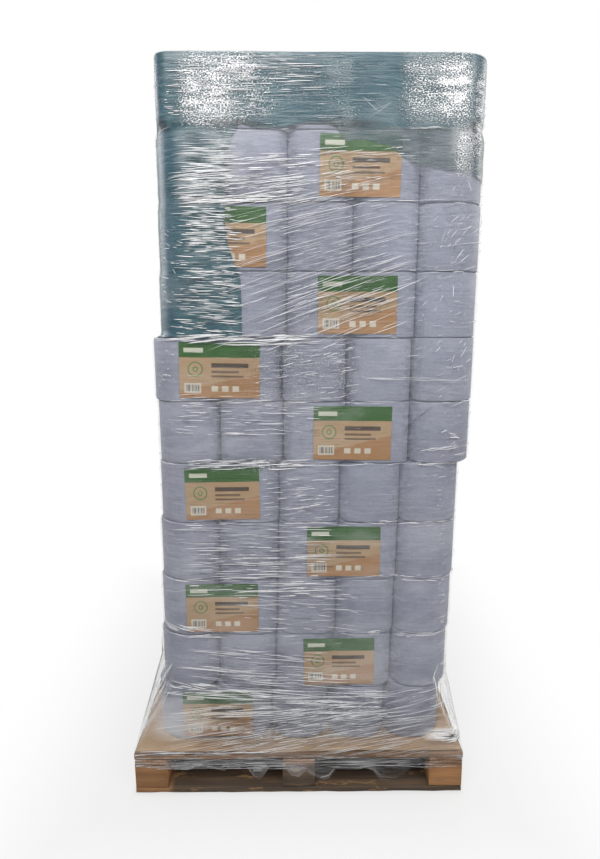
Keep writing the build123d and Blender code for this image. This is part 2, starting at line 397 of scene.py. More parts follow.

# %% [markdown]
# ## Pack wraps
# Six rolls at a time are wrapped in clear film, which lies on the rolls and bridges the hollows between
# them. Over the hollows the film is made hazier, a painted lightening of the shade in the gaps. Only the
# outer faces of the packs show, so the wraps of a layer are one band round it: the plan of the load with a
# shallow dip at each hollow, carried from the lower to the upper shoulder of the rolls.

# %% Wrap finish
wrap = Finish("pack_wrap", Roughness=0.35)
wrap_place = wrap.place()
wrap_crease = wrap.noise(wrap.stretched(wrap_place, (60, 60, 200)), 1.0, 3.0, 0.6)
wrap_tone = wrap.blend(wrap.span(wrap_crease, 0.3, 0.7), paint(160, 166, 186), paint(200, 205, 220))
wrap.set("Base Color", wrap_tone)
wrap_clear = wrap.span(wrap_crease, 0.3, 0.75, 0.10, 0.20)
# Over the hollows the film is made hazier: a painted lightening of the shade in the gaps.
hollow_lightening_haze = 0.09
wrap.set("Alpha", wrap.math("ADD", wrap_clear, wrap.math("MULTIPLY", wrap.value("hollow_lightening"), hollow_lightening_haze)))
wrap.bump(wrap_crease, 0.3, 0.001)
print("wrap finish,", len(wrap.tree.nodes), "nodes")

# %% Wrap shape
wrap_columns, wrap_rows = 360, 4
wrap_stand = 0.0003
flat_wall = 0.99
wrap_dip, wrap_reach = 0.0028, 0.016
wrap_tuck, wrap_turn = 0.0015, 0.003


def hollow_dip(place, wall_half, depth, reach):
    """Bell-shaped dip at each hollow between two rolls, along a wall of the load."""
    hollow = (place + wall_half) / roll_pitch
    away = (hollow - np.round(hollow)) * roll_pitch
    inner = np.abs(place) < wall_half - roll_pitch / 2
    return inner * depth * np.exp(-((away / reach) ** 2))


def wrap_band(number):
    """Points of one layer's band: the plan, let in at the hollows of the wall that each point is on, at
    four heights, of which the outer two turn in over the shoulders. Also how far each point is let in, as a
    share, which sets the painted lightening over the hollows."""
    u = np.linspace(0, 1, wrap_columns, endpoint=False)[None]
    tuck = np.array([wrap_tuck, 0.0, 0.0, wrap_tuck])[:, None]
    heights = np.array([roll_height, roll_height - wrap_turn, wrap_turn, 0.0])[:, None]
    grow = wrap_stand - tuck
    x, y, out_x, out_y = plan_point(u, half_width + grow, half_length + grow, roll_radius + grow)
    dip_x = hollow_dip(x, half_width, wrap_dip, wrap_reach) * (np.abs(out_y) > flat_wall)
    dip_y = hollow_dip(y, half_length, wrap_dip, wrap_reach) * (np.abs(out_x) > flat_wall)
    x, y = x - dip_y * np.sign(x), y - dip_x * np.sign(y)
    z = np.broadcast_to(layer_bottom[number] + heights, x.shape)
    return np.stack([settled(x, layer_middle[number]), y, z], -1), (dip_x + dip_y) / wrap_dip


wrap_faces = grid_faces(wrap_rows, wrap_columns, closed=True).tolist()
for number in range(layers):
    points, hollow_lightening = wrap_band(number)
    band = put_piece(
        f"pack_wraps_{number + 1:02d}", points, wrap_faces, [wrap.material], values={"hollow_lightening": hollow_lightening}
    )
    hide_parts(f"pack_layer_{number + 1:02d}")
print(layers, "bands of pack wrap")

# %% [markdown]
# ## Labels
# Each pack has a printed label on the long side that faces out. It lies on the film of the pack, flat
# over two rolls, and dips where it crosses the hollow between them. A label is a small grid bent by
# that dip. Its print is drawn by its UV map: a green head, a kraft body in two tones, bars for lines
# of print, a ring for a roll, and a block of stripes. It says nothing and belongs to nobody.

# %% Label finish
label_finish = Finish("printed_label", Roughness=0.45)
label_uv = label_finish.node("SeparateXYZ", {"Vector": label_finish.place("UV")})
label_x = label_uv
label_y = label_uv.node.outputs[1]
soft_edge = 0.008


def printed_box(left, right, low, high):
    """1 inside a box of the label, in shares of its width and height, and 0 outside."""
    edges = [
        label_finish.span(label_x, left - soft_edge, left + soft_edge),
        label_finish.span(label_x, right + soft_edge, right - soft_edge),
        label_finish.span(label_y, low - soft_edge, low + soft_edge),
        label_finish.span(label_y, high + soft_edge, high - soft_edge),
    ]
    share = edges[0]
    for edge in edges[1:]:
        share = label_finish.math("MULTIPLY", share, edge)
    return share


# %% Label print
label_paper = label_finish.noise(label_finish.place("UV"), 60.0, 4.0)
slant = label_finish.math("ADD", label_y, label_finish.math("MULTIPLY", label_x, -0.35))
kraft = label_finish.blend(label_finish.span(slant, 0.08, 0.14), paint(152, 114, 77), paint(164, 139, 109))
kraft = label_finish.blend(label_finish.span(label_paper, 0.3, 0.7, 0.0, 0.25), kraft, paint(142, 110, 76))
print_boxes = [
    (paint(44, 82, 34), (-1.0, 2.0, 0.73, 2.0)),
    (paint(186, 188, 172), (0.06, 0.30, 0.82, 0.90)),
    (paint(70, 60, 52), (0.40, 0.86, 0.55, 0.63)),
    (paint(96, 76, 58), (0.40, 0.74, 0.455, 0.495)),
    (paint(96, 76, 58), (0.40, 0.80, 0.375, 0.41)),
    (paint(192, 184, 170), (0.06, 0.27, 0.09, 0.27)),
    (paint(192, 184, 168), (0.40, 0.48, 0.12, 0.22)),
    (paint(192, 184, 168), (0.53, 0.61, 0.12, 0.22)),
    (paint(192, 184, 168), (0.66, 0.74, 0.12, 0.22)),
]
for tone, bounds in print_boxes:
    kraft = label_finish.blend(printed_box(*bounds), kraft, tone)
stripes = label_finish.noise(label_finish.stretched(label_finish.place("UV"), (110, 0.01, 1)), 1.0, 0.0)
stripe_share = label_finish.math(
    "MULTIPLY", printed_box(0.08, 0.25, 0.12, 0.24), label_finish.span(stripes, 0.48, 0.52)
)
kraft = label_finish.blend(stripe_share, kraft, paint(60, 56, 54))
ring_place, ring_stretch = (0.2, 0.52), 1.41
ring_x = label_finish.math("SUBTRACT", label_x, ring_place[0])
ring_x = label_finish.math("MULTIPLY", ring_x, ring_stretch)
ring_y = label_finish.math("SUBTRACT", label_y, ring_place[1])
ring_way = label_finish.math(
    "SQRT",
    label_finish.math("ADD", label_finish.math("POWER", ring_x, 2), label_finish.math("POWER", ring_y, 2)),
)
for outer, inner in ((0.13, 0.115), (0.045, 0.03)):
    band = label_finish.math(
        "MULTIPLY",
        label_finish.span(ring_way, outer + soft_edge, outer),
        label_finish.span(ring_way, inner - soft_edge, inner),
    )
    kraft = label_finish.blend(band, kraft, paint(86, 116, 66))
label_finish.set("Base Color", kraft)
label_finish.bump(label_paper, 0.1, 0.001)
print("label print,", len(print_boxes), "boxes")

# %% Label shape
label_width, label_height = 0.217, 0.154
label_stand = 0.0012
label_offset = 0.076
pack_rolls = 3
label_columns, label_rows = 29, 6
label_dip, label_reach = 0.0014, 0.016
end_middle = half_width - pack_rolls * roll_pitch / 2
side_middle = half_length - pack_rolls * roll_pitch / 2
label_walls = [
    (0, half_length, -end_middle - label_offset),
    (180, half_length, end_middle - label_offset),
    (90, half_width, -side_middle - label_offset),
    (90, half_width, side_middle - label_offset),
]


def label_grid(turn, wall, along, wall_half, tilt):
    """Points of one label: a flat grid on its wall, let in by a bell-shaped dip at each hollow between
    two rolls, and turned about the wall's upright."""
    across = np.linspace(-0.5, 0.5, label_columns)[None, :] * label_width
    down = np.linspace(0.5, -0.5, label_rows)[:, None] * label_height
    across, down = np.broadcast_arrays(across, down)
    place = along + across * math.cos(tilt) - down * math.sin(tilt)
    height = down * math.cos(tilt) + across * math.sin(tilt) + roll_height / 2
    out = wall + label_stand - hollow_dip(place, wall_half, label_dip, label_reach)
    angle = math.radians(turn)
    x = place * math.cos(angle) + out * math.sin(angle)
    y = place * math.sin(angle) - out * math.cos(angle)
    return np.stack([x, y, height], -1)


label_faces = grid_faces(label_rows, label_columns)
uv_x, uv_y = np.meshgrid(np.linspace(0, 1, label_columns), np.linspace(1, 0, label_rows))
label_corner_uv = np.stack([uv_x.ravel(), uv_y.ravel()], -1)[label_faces]
tilt_random = np.random.default_rng(7)
most_tilt = 0.8
for number in range(layers):
    grids = []
    for turn, wall, along in label_walls:
        wall_half = half_width if wall == half_length else half_length
        tilt = math.radians(tilt_random.uniform(-most_tilt, most_tilt))
        grids.append(label_grid(turn + 180 * (number % 2), wall, along, wall_half, tilt))
    points = np.stack(grids) + np.array([0, 0, layer_bottom[number]])
    points[..., 0] = settled(points[..., 0], layer_middle[number])
    faces = np.concatenate([label_faces + k * label_rows * label_columns for k in range(len(grids))])
    labels = put_piece(
        f"labels_{number + 1:02d}", points, faces.tolist(), [label_finish.material],
        np.tile(label_corner_uv, (len(grids), 1, 1)),
    )
    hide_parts(f"label_layer_{number + 1:02d}")
print(layers * len(label_walls), "labels")

# %% [markdown]
# ## Slip sheet
# A sheet of brown board lies between the deck and the first layer. Its rim shows as a ledge in front
# of the rolls and has curled a little. It is a closed thin solid: one grid for the top, the same grid
# lower down for the underside, and a wall between their rims.

# %% Slip sheet finish
board = Finish("kraft_board", Roughness=0.8)
board_place = board.place()
board_fibre = board.noise(board.stretched(board_place, (1, 3, 1)), 70.0, 4.0, 0.65)
board_stain = board.noise(board_place, 6.0, 3.0)
board_tone = board.blend(board.span(board_stain, 0.3, 0.7), paint(152, 124, 96), paint(176, 150, 120))
board_strands = board.span(board_fibre, 0.35, 0.75, 0.0, 0.5)
board.set("Base Color", board.blend(board_strands, board_tone, paint(132, 108, 84)))
board.bump(board_fibre, 0.25, 0.001)
print("board finish,", len(board.tree.nodes), "nodes")

# %% Slip sheet shape
slip_low, slip_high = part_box("slip_sheet")
slip_lift = 0.0002
slip_columns, slip_rows = 61, 73
curl_height, curl_reach = 0.006, 0.05


def slip_grid(base):
    """Points of one face of the sheet: flat in the middle, lifted towards the rim by a soft waver."""
    x, y = np.meshgrid(
        np.linspace(slip_high.x, slip_low.x, slip_columns), np.linspace(slip_high.y, slip_low.y, slip_rows)
    )
    rim = np.minimum.reduce([x - slip_low.x, slip_high.x - x, y - slip_low.y, slip_high.y - y])
    u = (x - slip_low.x) / (slip_high.x - slip_low.x)
    v = (y - slip_low.y) / (slip_high.y - slip_low.y)
    lift = curl_height * eased(curl_reach, 0, rim) * (0.5 + 0.5 * soft_noise(u, v, 7, 9, 21))
    return np.stack([x, y, base + lift], -1)


def slip_rim():
    """Numbers of the grid's rim points, once round."""
    count = np.arange(slip_rows * slip_columns).reshape(slip_rows, slip_columns)
    return np.concatenate([count[0, :-1], count[:-1, -1], count[-1, :0:-1], count[:0:-1, 0]])


top_grid, under_grid = slip_grid(slip_high.z), slip_grid(slip_low.z + slip_lift)
face_count = slip_rows * slip_columns
sheet_faces = grid_faces(slip_rows, slip_columns)
rim = slip_rim()
after = np.roll(rim, -1)
wall_faces = np.stack([rim, after, after + face_count, rim + face_count], -1)
slip_faces = np.concatenate([sheet_faces, sheet_faces[:, ::-1] + face_count, wall_faces])
slip = put_piece("slip_board", np.stack([top_grid, under_grid]), slip_faces.tolist(), [board.material])
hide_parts("slip_sheet")
print("slip sheet", len(slip_faces), "faces")

# %% [markdown]
# ## Pallet
# Sawn softwood: boards and blocks with grain along them, rings on their ends and worn edges. A board is
# a rounded section carried along its length, with a slight waver, so that its edges are not ruled
# lines. The UV map runs along and round each board in metres, with its own start, so no two match. The
# base boards and the middle block of the front have a darker finish, apart from a paler left end.

# %% Wood finish
def sawn_finish(name, dark, light, fibre, patch, patch_from, patch_share):
    """Sawn wood on the board's UV map: slow bands and fine fibre along the board, and patches of another
    tone where a noise is over a limit: dirt on the usual boards, pale splinters on the darker ones."""
    finish = Finish(name, Roughness=0.78)
    uv = finish.place("UV")
    band = finish.noise(finish.stretched(uv, (1.4, 26, 1)), 1.6, 5.0, 0.6)
    fine = finish.noise(finish.stretched(uv, (9, 420, 1)), 1.0, 3.0, 0.6)
    worn = finish.noise(finish.stretched(uv, (8, 26, 1)), 1.0, 4.0, 0.62)
    tone = finish.blend(finish.span(band, 0.32, 0.68), dark, light)
    tone = finish.blend(finish.span(fine, 0.35, 0.8, 0.0, 0.55), tone, fibre)
    tone = finish.blend(finish.span(worn, patch_from, patch_from + 0.1, 0.0, patch_share), tone, patch)
    finish.set("Base Color", tone)
    finish.bump(finish.math("ADD", fine, band), 0.35, 0.0015)
    return finish


board_wood = sawn_finish(
    "sawn_softwood", paint(98, 70, 46), paint(150, 112, 74), paint(88, 64, 46),
    patch=paint(92, 84, 76), patch_from=0.56, patch_share=0.6,
)
block_wood = sawn_finish(
    "block_softwood", paint(140, 98, 60), paint(168, 122, 78), paint(120, 84, 54),
    patch=paint(112, 92, 74), patch_from=0.58, patch_share=0.5,
)
# A darker finish for the base boards and the front middle block.
dark_wood = sawn_finish(
    "dark_softwood", paint(52, 41, 32), paint(92, 73, 54), paint(58, 46, 36),
    patch=paint(150, 116, 78), patch_from=0.57, patch_share=0.9,
)
print("three tones of sawn wood")

# %% Paler end and end grain
pale_end_x, pale_end_y, pale_end_edge = -0.392, -0.49, 0.012
dark_place = dark_wood.node("SeparateXYZ", {"Vector": dark_wood.place()})
pale_end = dark_wood.math(
    "MULTIPLY",
    dark_wood.span(dark_place, pale_end_x + pale_end_edge, pale_end_x - pale_end_edge),
    dark_wood.span(dark_place.node.outputs[1], pale_end_y + pale_end_edge, pale_end_y - pale_end_edge),
)
dark_tone = dark_wood.shader.inputs["Base Color"].links[0].from_socket
dark_wood.set("Base Color", dark_wood.blend(pale_end, dark_tone, paint(140, 102, 66)))

end_wood = Finish("sawn_end_grain", Roughness=0.85)
end_uv = end_wood.place("UV")
end_rings = end_wood.node(
    "TexWave", {"Vector": end_uv, "Scale": 30.0, "Distortion": 6.0, "Detail": 3.0, "Detail Scale": 2.0},
    wave_type="RINGS", rings_direction="Z",
)
end_saw = end_wood.noise(end_uv, 300.0, 3.0)
end_tone = end_wood.blend(end_rings, paint(124, 86, 52), paint(154, 110, 68))
end_marks = end_wood.span(end_saw, 0.4, 0.8, 0.0, 0.5)
end_wood.set("Base Color", end_wood.blend(end_marks, end_tone, paint(84, 62, 46)))
end_wood.bump(end_saw, 0.4, 0.001)
print("end grain,", len(end_wood.tree.nodes), "nodes")

# %% Plank shape
plank_edge = 0.003
plank_step = 0.04
plank_wear = 0.06
heart_reach = 0.06
uv_reach = 40.0
edge_turns = np.radians([0, 45, 90])


def plank_section(half_across, half_tall):
    """Points round a board's section: a rectangle with small round edges, from its right side up."""
    points = []
    for quarter, (side, end) in enumerate(((1, 1), (-1, 1), (-1, -1), (1, -1))):
        turn = edge_turns + quarter * math.pi / 2
        across = side * (half_across - plank_edge) + plank_edge * np.cos(turn)
        tall = end * (half_tall - plank_edge) + plank_edge * np.sin(turn)
        points.append(np.stack([across, tall], -1))
    return np.concatenate(points)


def plank(node, along_x, side_finish, seed):
    """A board in its node's place: its section carried from end to end, each station let in a little at
    random, with flat sawn ends. u runs along the board and v round it, in metres."""
    low, high = (np.array(corner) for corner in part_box(node))
    middle, half = (low + high) / 2, (high - low) / 2
    reach, across = (half[0], half[1]) if along_x else (half[1], half[0])
    stations = max(3, int(2 * reach / plank_step))
    section = plank_section(across, half[2])
    along = np.linspace(-reach, reach, stations)
    random = np.random.default_rng(seed)
    worn = 1 - random.uniform(0, plank_wear, (stations, len(section), 1))
    ring = section[None] * worn
    run = np.broadcast_to(along[:, None], ring.shape[:2])
    places = (run, ring[..., 0], ring[..., 1]) if along_x else (-ring[..., 0], run, ring[..., 1])
    points = np.stack(places, -1) + middle
    count = len(section)
    sides = grid_faces(stations, count, closed=True)
    lengths = np.linalg.norm(np.diff(section, axis=0, append=section[:1]), axis=1)
    round_way = np.concatenate([[0], np.cumsum(lengths)])
    start = random.uniform(0, uv_reach, 2)
    u, v = np.meshgrid(along + start[0], round_way + start[1], indexing="ij")
    side_uv = np.stack([u.ravel(), v.ravel()], -1)[grid_faces(stations, count + 1)]
    ends = [np.arange(count), np.arange(count)[::-1] + (stations - 1) * count]
    heart = random.uniform(-heart_reach, heart_reach, 2)
    end_corner_uv = np.concatenate([section - heart, (section - heart)[::-1]])
    faces = sides.tolist() + [end.tolist() for end in ends]
    uv = np.concatenate([side_uv.reshape(-1, 2), end_corner_uv])
    slots = np.concatenate([np.zeros(len(sides)), np.ones(2)])
    piece = put_piece(
        node + "_sawn", points, faces, [side_finish.material, end_wood.material], uv, face_slots=slots
    )
    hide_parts(node)
    return piece


# %% Boards and blocks
along_x_names = ("deck_board", "block", "base_board_front", "base_board_rear")
wooden = [name for name in sorted(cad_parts) if name.startswith(("deck", "leader", "block", "base"))]
for number, name in enumerate(wooden):
    side_finish = {"base": dark_wood, "bloc": block_wood}.get(name[:4], board_wood)
    side_finish = dark_wood if name == "block_front_middle" else side_finish
    plank(name, name.startswith(along_x_names), side_finish, 300 + number)
print(len(wooden), "boards and blocks")

# %% [markdown]
# ## Top sheet
# A loose sheet of teal film lies over the top layer and hangs down all sides. Its front left corner is
# folded into a long ear, which hangs four layers deep and looks darker, because film lies double there.
# The sheet is a function of the way round and the way out from the middle: flat on top, then down to a
# hem whose drop changes round the load. The ear is one more grid, laid round its corner. Three values
# at each point tell the finish how thick the film lies, where a painted shadow line darkens it at the
# joint under the top layer, and where the tint is deeper in upright folds, partly from film lying double
# and partly as painted shade.

# %% Tinted film finish
tinted = Finish("tinted_film", Roughness=0.3, Specular_IOR_Level=0.5)
tint_uv = tinted.place("UV")
tint_crease = tinted.noise(tinted.stretched(tint_uv, (14, 150, 1)), 1.0, 3.0, 0.6)
tint_cloud = tinted.noise(tinted.stretched(tint_uv, (7, 7, 1)), 1.0, 3.0)
tint_tone = tinted.blend(tinted.span(tint_crease, 0.35, 0.75), paint(40, 78, 89), paint(74, 108, 115))
tint_single = tinted.span(tinted.value("thickness"), 0.86, 0.64, 0.0, 0.7)
tint_tone = tinted.blend(tint_single, tint_tone, paint(98, 110, 110))
# Deeper tint in upright folds: partly film lying double, partly painted shade.
tint_tone = tinted.blend(tinted.value("deep"), tint_tone, paint(30, 72, 90))
# Painted shadow line where the sheet is drawn into the joint under the top layer.
tinted.set("Base Color", tinted.blend(tinted.value("joint_shadow"), tint_tone, paint(16, 34, 42)))
tint_base = tinted.math("ADD", tinted.value("thickness"), tinted.span(tint_cloud, 0.3, 0.7, -0.08, 0.08))
tinted.set("Alpha", tint_base)
tinted.bump(tint_crease, 0.5, 0.002)
print("tinted finish,", len(tinted.tree.nodes), "nodes")

# %% Hem of the top sheet
front_hem_x = [-0.45, -0.20, 0.04, 0.06, 0.18, 0.21, 0.25, 0.365, 0.45]
front_hem_drop = [0.176, 0.176, 0.179, 0.212, 0.223, 0.252, 0.269, 0.289, 0.311]
rear_hem_x = [-0.45, -0.25, 0.0, 0.25, 0.45]
rear_hem_drop = [0.46, 0.24, 0.18, 0.22, 0.55]
left_hem_y = [-0.54, -0.2, 0.2, 0.54]
left_hem_drop = [0.22, 0.21, 0.26, 0.46]
right_hem_y = [-0.54, -0.2, 0.2, 0.54]
right_hem_drop = [0.311, 0.22, 0.25, 0.55]


def hem_drop(u):
    """Drop of the hem round the load, in metres: each side has its own curve, from corner to corner."""
    x, y, out_x, out_y = plan_point(u, half_width, half_length, roll_radius)
    front, rear = np.interp(x, front_hem_x, front_hem_drop), np.interp(x, rear_hem_x, rear_hem_drop)
    left, right = np.interp(y, left_hem_y, left_hem_drop), np.interp(y, right_hem_y, right_hem_drop)
    on_side = np.abs(y) < flat_length
    return np.where(on_side, np.where(x > 0, right, left), np.where(y < 0, front, rear))


print("hem drops by up to", max(front_hem_drop + rear_hem_drop + left_hem_drop + right_hem_drop), "m")

# %% Top sheet shape
sheet_columns = 300
top_rings, drop_rings = 36, 44
sheet_stand = 0.0010
sheet_shoulder = 0.006
sheet_top = load_top + 0.0045
single_thick, double_thick = 0.60, 0.90
right_slump, slump_reach, slump_down = 0.004, 0.11, 0.12
left_top_radius, right_top_radius = 0.035, 0.055
fill_from, fill_full = load_top - 0.19, load_top - 0.15
sheet_swell, sheet_crease, crease_start, crease_run = 0.0010, 0.0005, 0.03, 0.8


def slump(x, y):
    """How far the front right top edge has sunk."""
    across = eased(half_width - slump_reach, half_width, x - layer_x[-1] - right_moves[-1])
    return right_slump * across * eased(0.1, -half_length, y)


def corner_radius(u, z):
    """Radius of the wrapped load's corners at a height: that of a roll, and less towards the top edge,
    where the folded sheet fills the corners out, most on the left."""
    top_radius = np.where(u < 0.5, left_top_radius, right_top_radius)
    return roll_radius + (top_radius - roll_radius) * eased(fill_from, fill_full, z)


def sheet_rows(u, down):
    """Points of the hanging part: the way round and a drop, in metres, from the top edge. The first
    stretch turns over the edge on a quarter round."""
    turn = np.clip(down / (sheet_shoulder * math.pi / 2), 0, 1) * math.pi / 2
    grow = sheet_stand - sheet_shoulder * (1 - np.sin(turn))
    z = sheet_top - sheet_shoulder * (1 - np.cos(turn))
    z = z - np.maximum(down - sheet_shoulder * math.pi / 2, 0)
    x, y, out_x, out_y = plan_point(u, half_width + grow, half_length + grow, corner_radius(u, z) + grow)
    gathers = soft_noise(u, down / crease_run, 160, 46, 31) + soft_noise(u, down / crease_run, 60, 9, 32)
    crease = (sheet_swell + sheet_crease * gathers) * eased(0, crease_start, down) - joint_dip(u, z)
    x, y = settled(x, z) + crease * out_x, y + crease * out_y
    return np.stack([x, y, z - slump(x, y) * eased(slump_down, 0, down)], -1)


# %% Painted shade at the folds of the top sheet
shadow_line_height = 0.010
side_shadow = 0.6
front_shadow_spots = [(-0.22, 0.085, 0.85), (0.055, 0.09, 1.0), (-0.43, 0.03, 0.8), (0.41, 0.03, 0.6)]
deep_shaded_folds = [(-0.413, 0.022, 1.0), (-0.03, 0.05, 0.35), (0.11, 0.03, 0.35), (0.407, 0.011, 0.9)]


def joint_shadow_line(u, down):
    """Painted shadow line where the sheet is drawn into the joint under the top layer: on and off round
    the load, and on the front at its two folds and its corners."""
    x, y, out_x, out_y = plan_point(u, half_width, half_length, roll_radius)
    line = np.exp(-(((down - layer_pitch + shadow_line_height / 2) / shadow_line_height) ** 2))
    strength = side_shadow * eased(-0.3, 0.4, soft_noise(u, 0 * u, 26, 2, 37)) * (out_y > -0.5)
    for middle, reach, depth in front_shadow_spots:
        strength = np.maximum(strength, depth * np.exp(-(((x - middle) / reach) ** 4)) * (y < 0))
    return line * strength


def deep_tint_and_shade(u, down):
    """How much deeper the tint is where the sheet lies in upright folds on the front, partly from film lying
    double and partly as painted shade: a bell across each fold, and a slow change down it."""
    x, y, out_x, out_y = plan_point(u, half_width, half_length, roll_radius)
    deep = 0 * (u + down)
    for middle, reach, depth in deep_shaded_folds:
        deep = np.maximum(deep, depth * np.exp(-(((x - middle) / reach) ** 4)) * (y < 0))
    return deep * (0.85 + 0.15 * soft_noise(u, down, 40, 14, 38))


print(len(front_shadow_spots), "dark folds and", len(deep_shaded_folds), "deep ones on the front")

# %% Hanging part of the top sheet
u_round = np.linspace(0, 1, sheet_columns, endpoint=False)
hem_waver, row_power = 0.008, 1.2
hem = hem_drop(u_round) + hem_waver * soft_noise(u_round, 0.5 + 0 * u_round, 70, 2, 33)
down_share = np.linspace(0, 1, drop_rings)[:, None] ** row_power
u_grid, down_grid = np.broadcast_arrays(u_round[None], down_share * hem[None])
hanging = sheet_rows(u_grid, down_grid)
print("hem of the top sheet at", round(float(hanging[-1, :, 2].min()), 3), "m and higher")

# %% Flat part of the top sheet
inner_ring = 0.06
dimple_depth, dimple_reach = 0.0035, 0.022
flat_stand, flat_ripple = 0.0014, 0.0006
ring_share = np.linspace(inner_ring, 1, top_rings, endpoint=False)[:, None]
edge_x, edge_y = hanging[0, :, 0], hanging[0, :, 1]
flat_x = layer_x[-1] + (edge_x - layer_x[-1]) * ring_share
flat_y = edge_y * ring_share
even_x = (flat_x - layer_x[-1] - left_moves[-1] / 2 - right_moves[-1] / 2) / (
    1 + (right_moves[-1] - left_moves[-1]) / (2 * flat_width)
)


def from_bore(place, half, count):
    """Distance, along one way, from the middle of the roll below."""
    roll = np.clip(np.floor((place + half) / roll_pitch), 0, count - 1)
    return place + half - (roll + 0.5) * roll_pitch


from_middle = np.hypot(from_bore(even_x, half_width, columns), from_bore(flat_y, half_length, rows))
ripple = flat_ripple * soft_noise(u_round[None], ring_share, 40, 12, 34) * eased(1, 0.8, ring_share)
ripple = ripple - dimple_depth * np.exp(-((from_middle / dimple_reach) ** 2))
edge_z = hanging[0, :, 2]
flat_z = edge_z + (load_top + flat_stand - edge_z) * eased(1, 0.6, ring_share) + ripple
print("top dips by", round(float(-ripple.min()) * 1000, 1), "mm over the bores")

# %% Top sheet map and values
sheet_points = np.concatenate([np.stack([flat_x, flat_y, flat_z], -1), hanging])
sheet_rings = top_rings + drop_rings
sheet_body = grid_faces(sheet_rings, sheet_columns, closed=True)
row_down = np.concatenate([-0.5 * (1 - ring_share[:, 0]), down_share[:, 0] * hem.mean()])
uv_u, uv_v = np.meshgrid(np.linspace(0, way_round, sheet_columns + 1), row_down)
sheet_uv = np.stack([uv_u.ravel(), uv_v.ravel()], -1)[grid_faces(sheet_rings, sheet_columns + 1)]
flat_faces = sheet_body[: top_rings * sheet_columns]
flat_uv_start = 7.0
flat_uv = flat_uv_start + sheet_points.reshape(-1, 3)[:, :2]
sheet_uv[: len(flat_faces)] = flat_uv[flat_faces]
middle_uv = flat_uv[:sheet_columns]
double_down, single_down = 0.172, 0.19
hanging_thick = double_thick + (single_thick - double_thick) * eased(double_down, single_down, down_grid)
sheet_thickness = np.concatenate([np.full(flat_z.shape, double_thick), hanging_thick])
sheet_shadow = np.concatenate([0 * flat_z, joint_shadow_line(u_grid, down_grid)])
sheet_deep_and_shade = np.concatenate([0 * flat_z, deep_tint_and_shade(u_grid, down_grid)])
print("top sheet grid", sheet_points.shape)

# %% Ear of the top sheet
ear_columns, ear_rows = 34, 70
ear_stand = 0.0006
ear_high, ear_low = 0.004, 0.715
ear_waver, ear_ragged = 0.004, 0.012
ear_thick, fold_thick, fold_reach = 0.86, 0.12, 0.06
ear_edge_down = [0.0, 0.165, 0.195, 0.24, 0.352, 0.465, 0.529, 0.555, 0.707]
ear_edge_x = [-0.20, -0.20, -0.235, -0.258, -0.262, -0.249, -0.227, -0.211, -0.214]
ear_back_down, ear_back_share = [0.0, 0.5, 0.73], [0.5, 0.56, 0.8]


def front_u(x):
    """The way round at a place across the front, counted from the stack's middle. Past the flat part it
    follows the round corners."""
    over = np.clip((np.abs(x) - flat_width) / roll_radius, 0, 0.99)
    flat = np.interp(x, [-flat_width, flat_width], [way_marks[4], way_marks[5]])
    return flat + np.sign(x) * np.arcsin(over) * roll_radius / way_round


ear_down = np.linspace(ear_high, ear_low, ear_rows)[:, None]
ear_edge = np.interp(ear_down[:, 0], ear_edge_down, ear_edge_x)
ear_back = np.interp(ear_down[:, 0], ear_back_down, ear_back_share)
u_back = way_marks[2] + (way_marks[3] - way_marks[2]) * ear_back
u_edge = front_u(ear_edge + ear_waver * soft_noise(ear_down[:, 0], 0 * ear_down[:, 0], 9, 2, 35))
ear_share = np.linspace(0, 1, ear_columns)[None]
u_ear = u_back[:, None] * (1 - ear_share) + u_edge[:, None] * ear_share
ear_hem = ear_down * (1 - ear_ragged * soft_noise(u_ear, 0 * u_ear, 60, 2, 36) * ear_down / ear_low)
ear_points = sheet_rows(u_ear, ear_hem)
x, y, out_x, out_y = plan_point(u_ear, half_width, half_length, roll_radius)
ear_points[..., 0] += ear_stand * out_x
ear_points[..., 1] += ear_stand * out_y
ear_faces = grid_faces(ear_rows, ear_columns) + sheet_points.shape[0] * sheet_columns
ear_uv = np.stack([u_ear * way_round, ear_hem], -1).reshape(-1, 2)[grid_faces(ear_rows, ear_columns)]
from_corner = (u_ear - 0.5 * (way_marks[3] + way_marks[4])) * way_round
ear_thickness = ear_thick + fold_thick * np.exp(-((from_corner / fold_reach) ** 2))
ear_shadow = joint_shadow_line(u_ear, ear_hem)
ear_deep_and_shade = deep_tint_and_shade(u_ear, ear_hem)
print("ear hangs", ear_low, "m deep")

# %% Top sheet piece
all_points = np.concatenate([sheet_points.reshape(-1, 3), ear_points.reshape(-1, 3)])
all_faces = sheet_body.tolist() + [np.arange(sheet_columns).tolist()] + ear_faces.tolist()
all_uv = np.concatenate([sheet_uv.reshape(-1, 2), middle_uv, ear_uv.reshape(-1, 2)])
sheet_values = {
    "thickness": np.concatenate([sheet_thickness.ravel(), ear_thickness.ravel()]),
    "joint_shadow": np.concatenate([sheet_shadow.ravel(), ear_shadow.ravel()]),
    "deep": np.concatenate([sheet_deep_and_shade.ravel(), ear_deep_and_shade.ravel()]),
}
top_sheet = put_piece("top_sheet_draped", all_points, all_faces, [tinted.material], all_uv, sheet_values)
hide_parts("top_sheet")

# %% [markdown]
# ## Stretch film
# Clear film is wound round the load from the pallet up, and its last turns lap over the top edge. It is
# pulled tight, so it bridges the hollows between the rolls, dips at the joints between layers, and runs
# straight from the second layer, lower on the right, to the rim of the pallet, where its hem is torn. It
# is a function of the way round and the way down, one face thick. Its finish is nearly clear, with painted
# highlights where fine creases gather: white dashes along its turns, white specks where it lies crumpled on
# the top sheet and slanted white sweeps, with dark flecks of painted shadow among them, faint pale lines of
# painted sheen, and a soft haze that is partly the film's own and partly painted glare. Values at its points
# say how much of each shows where.

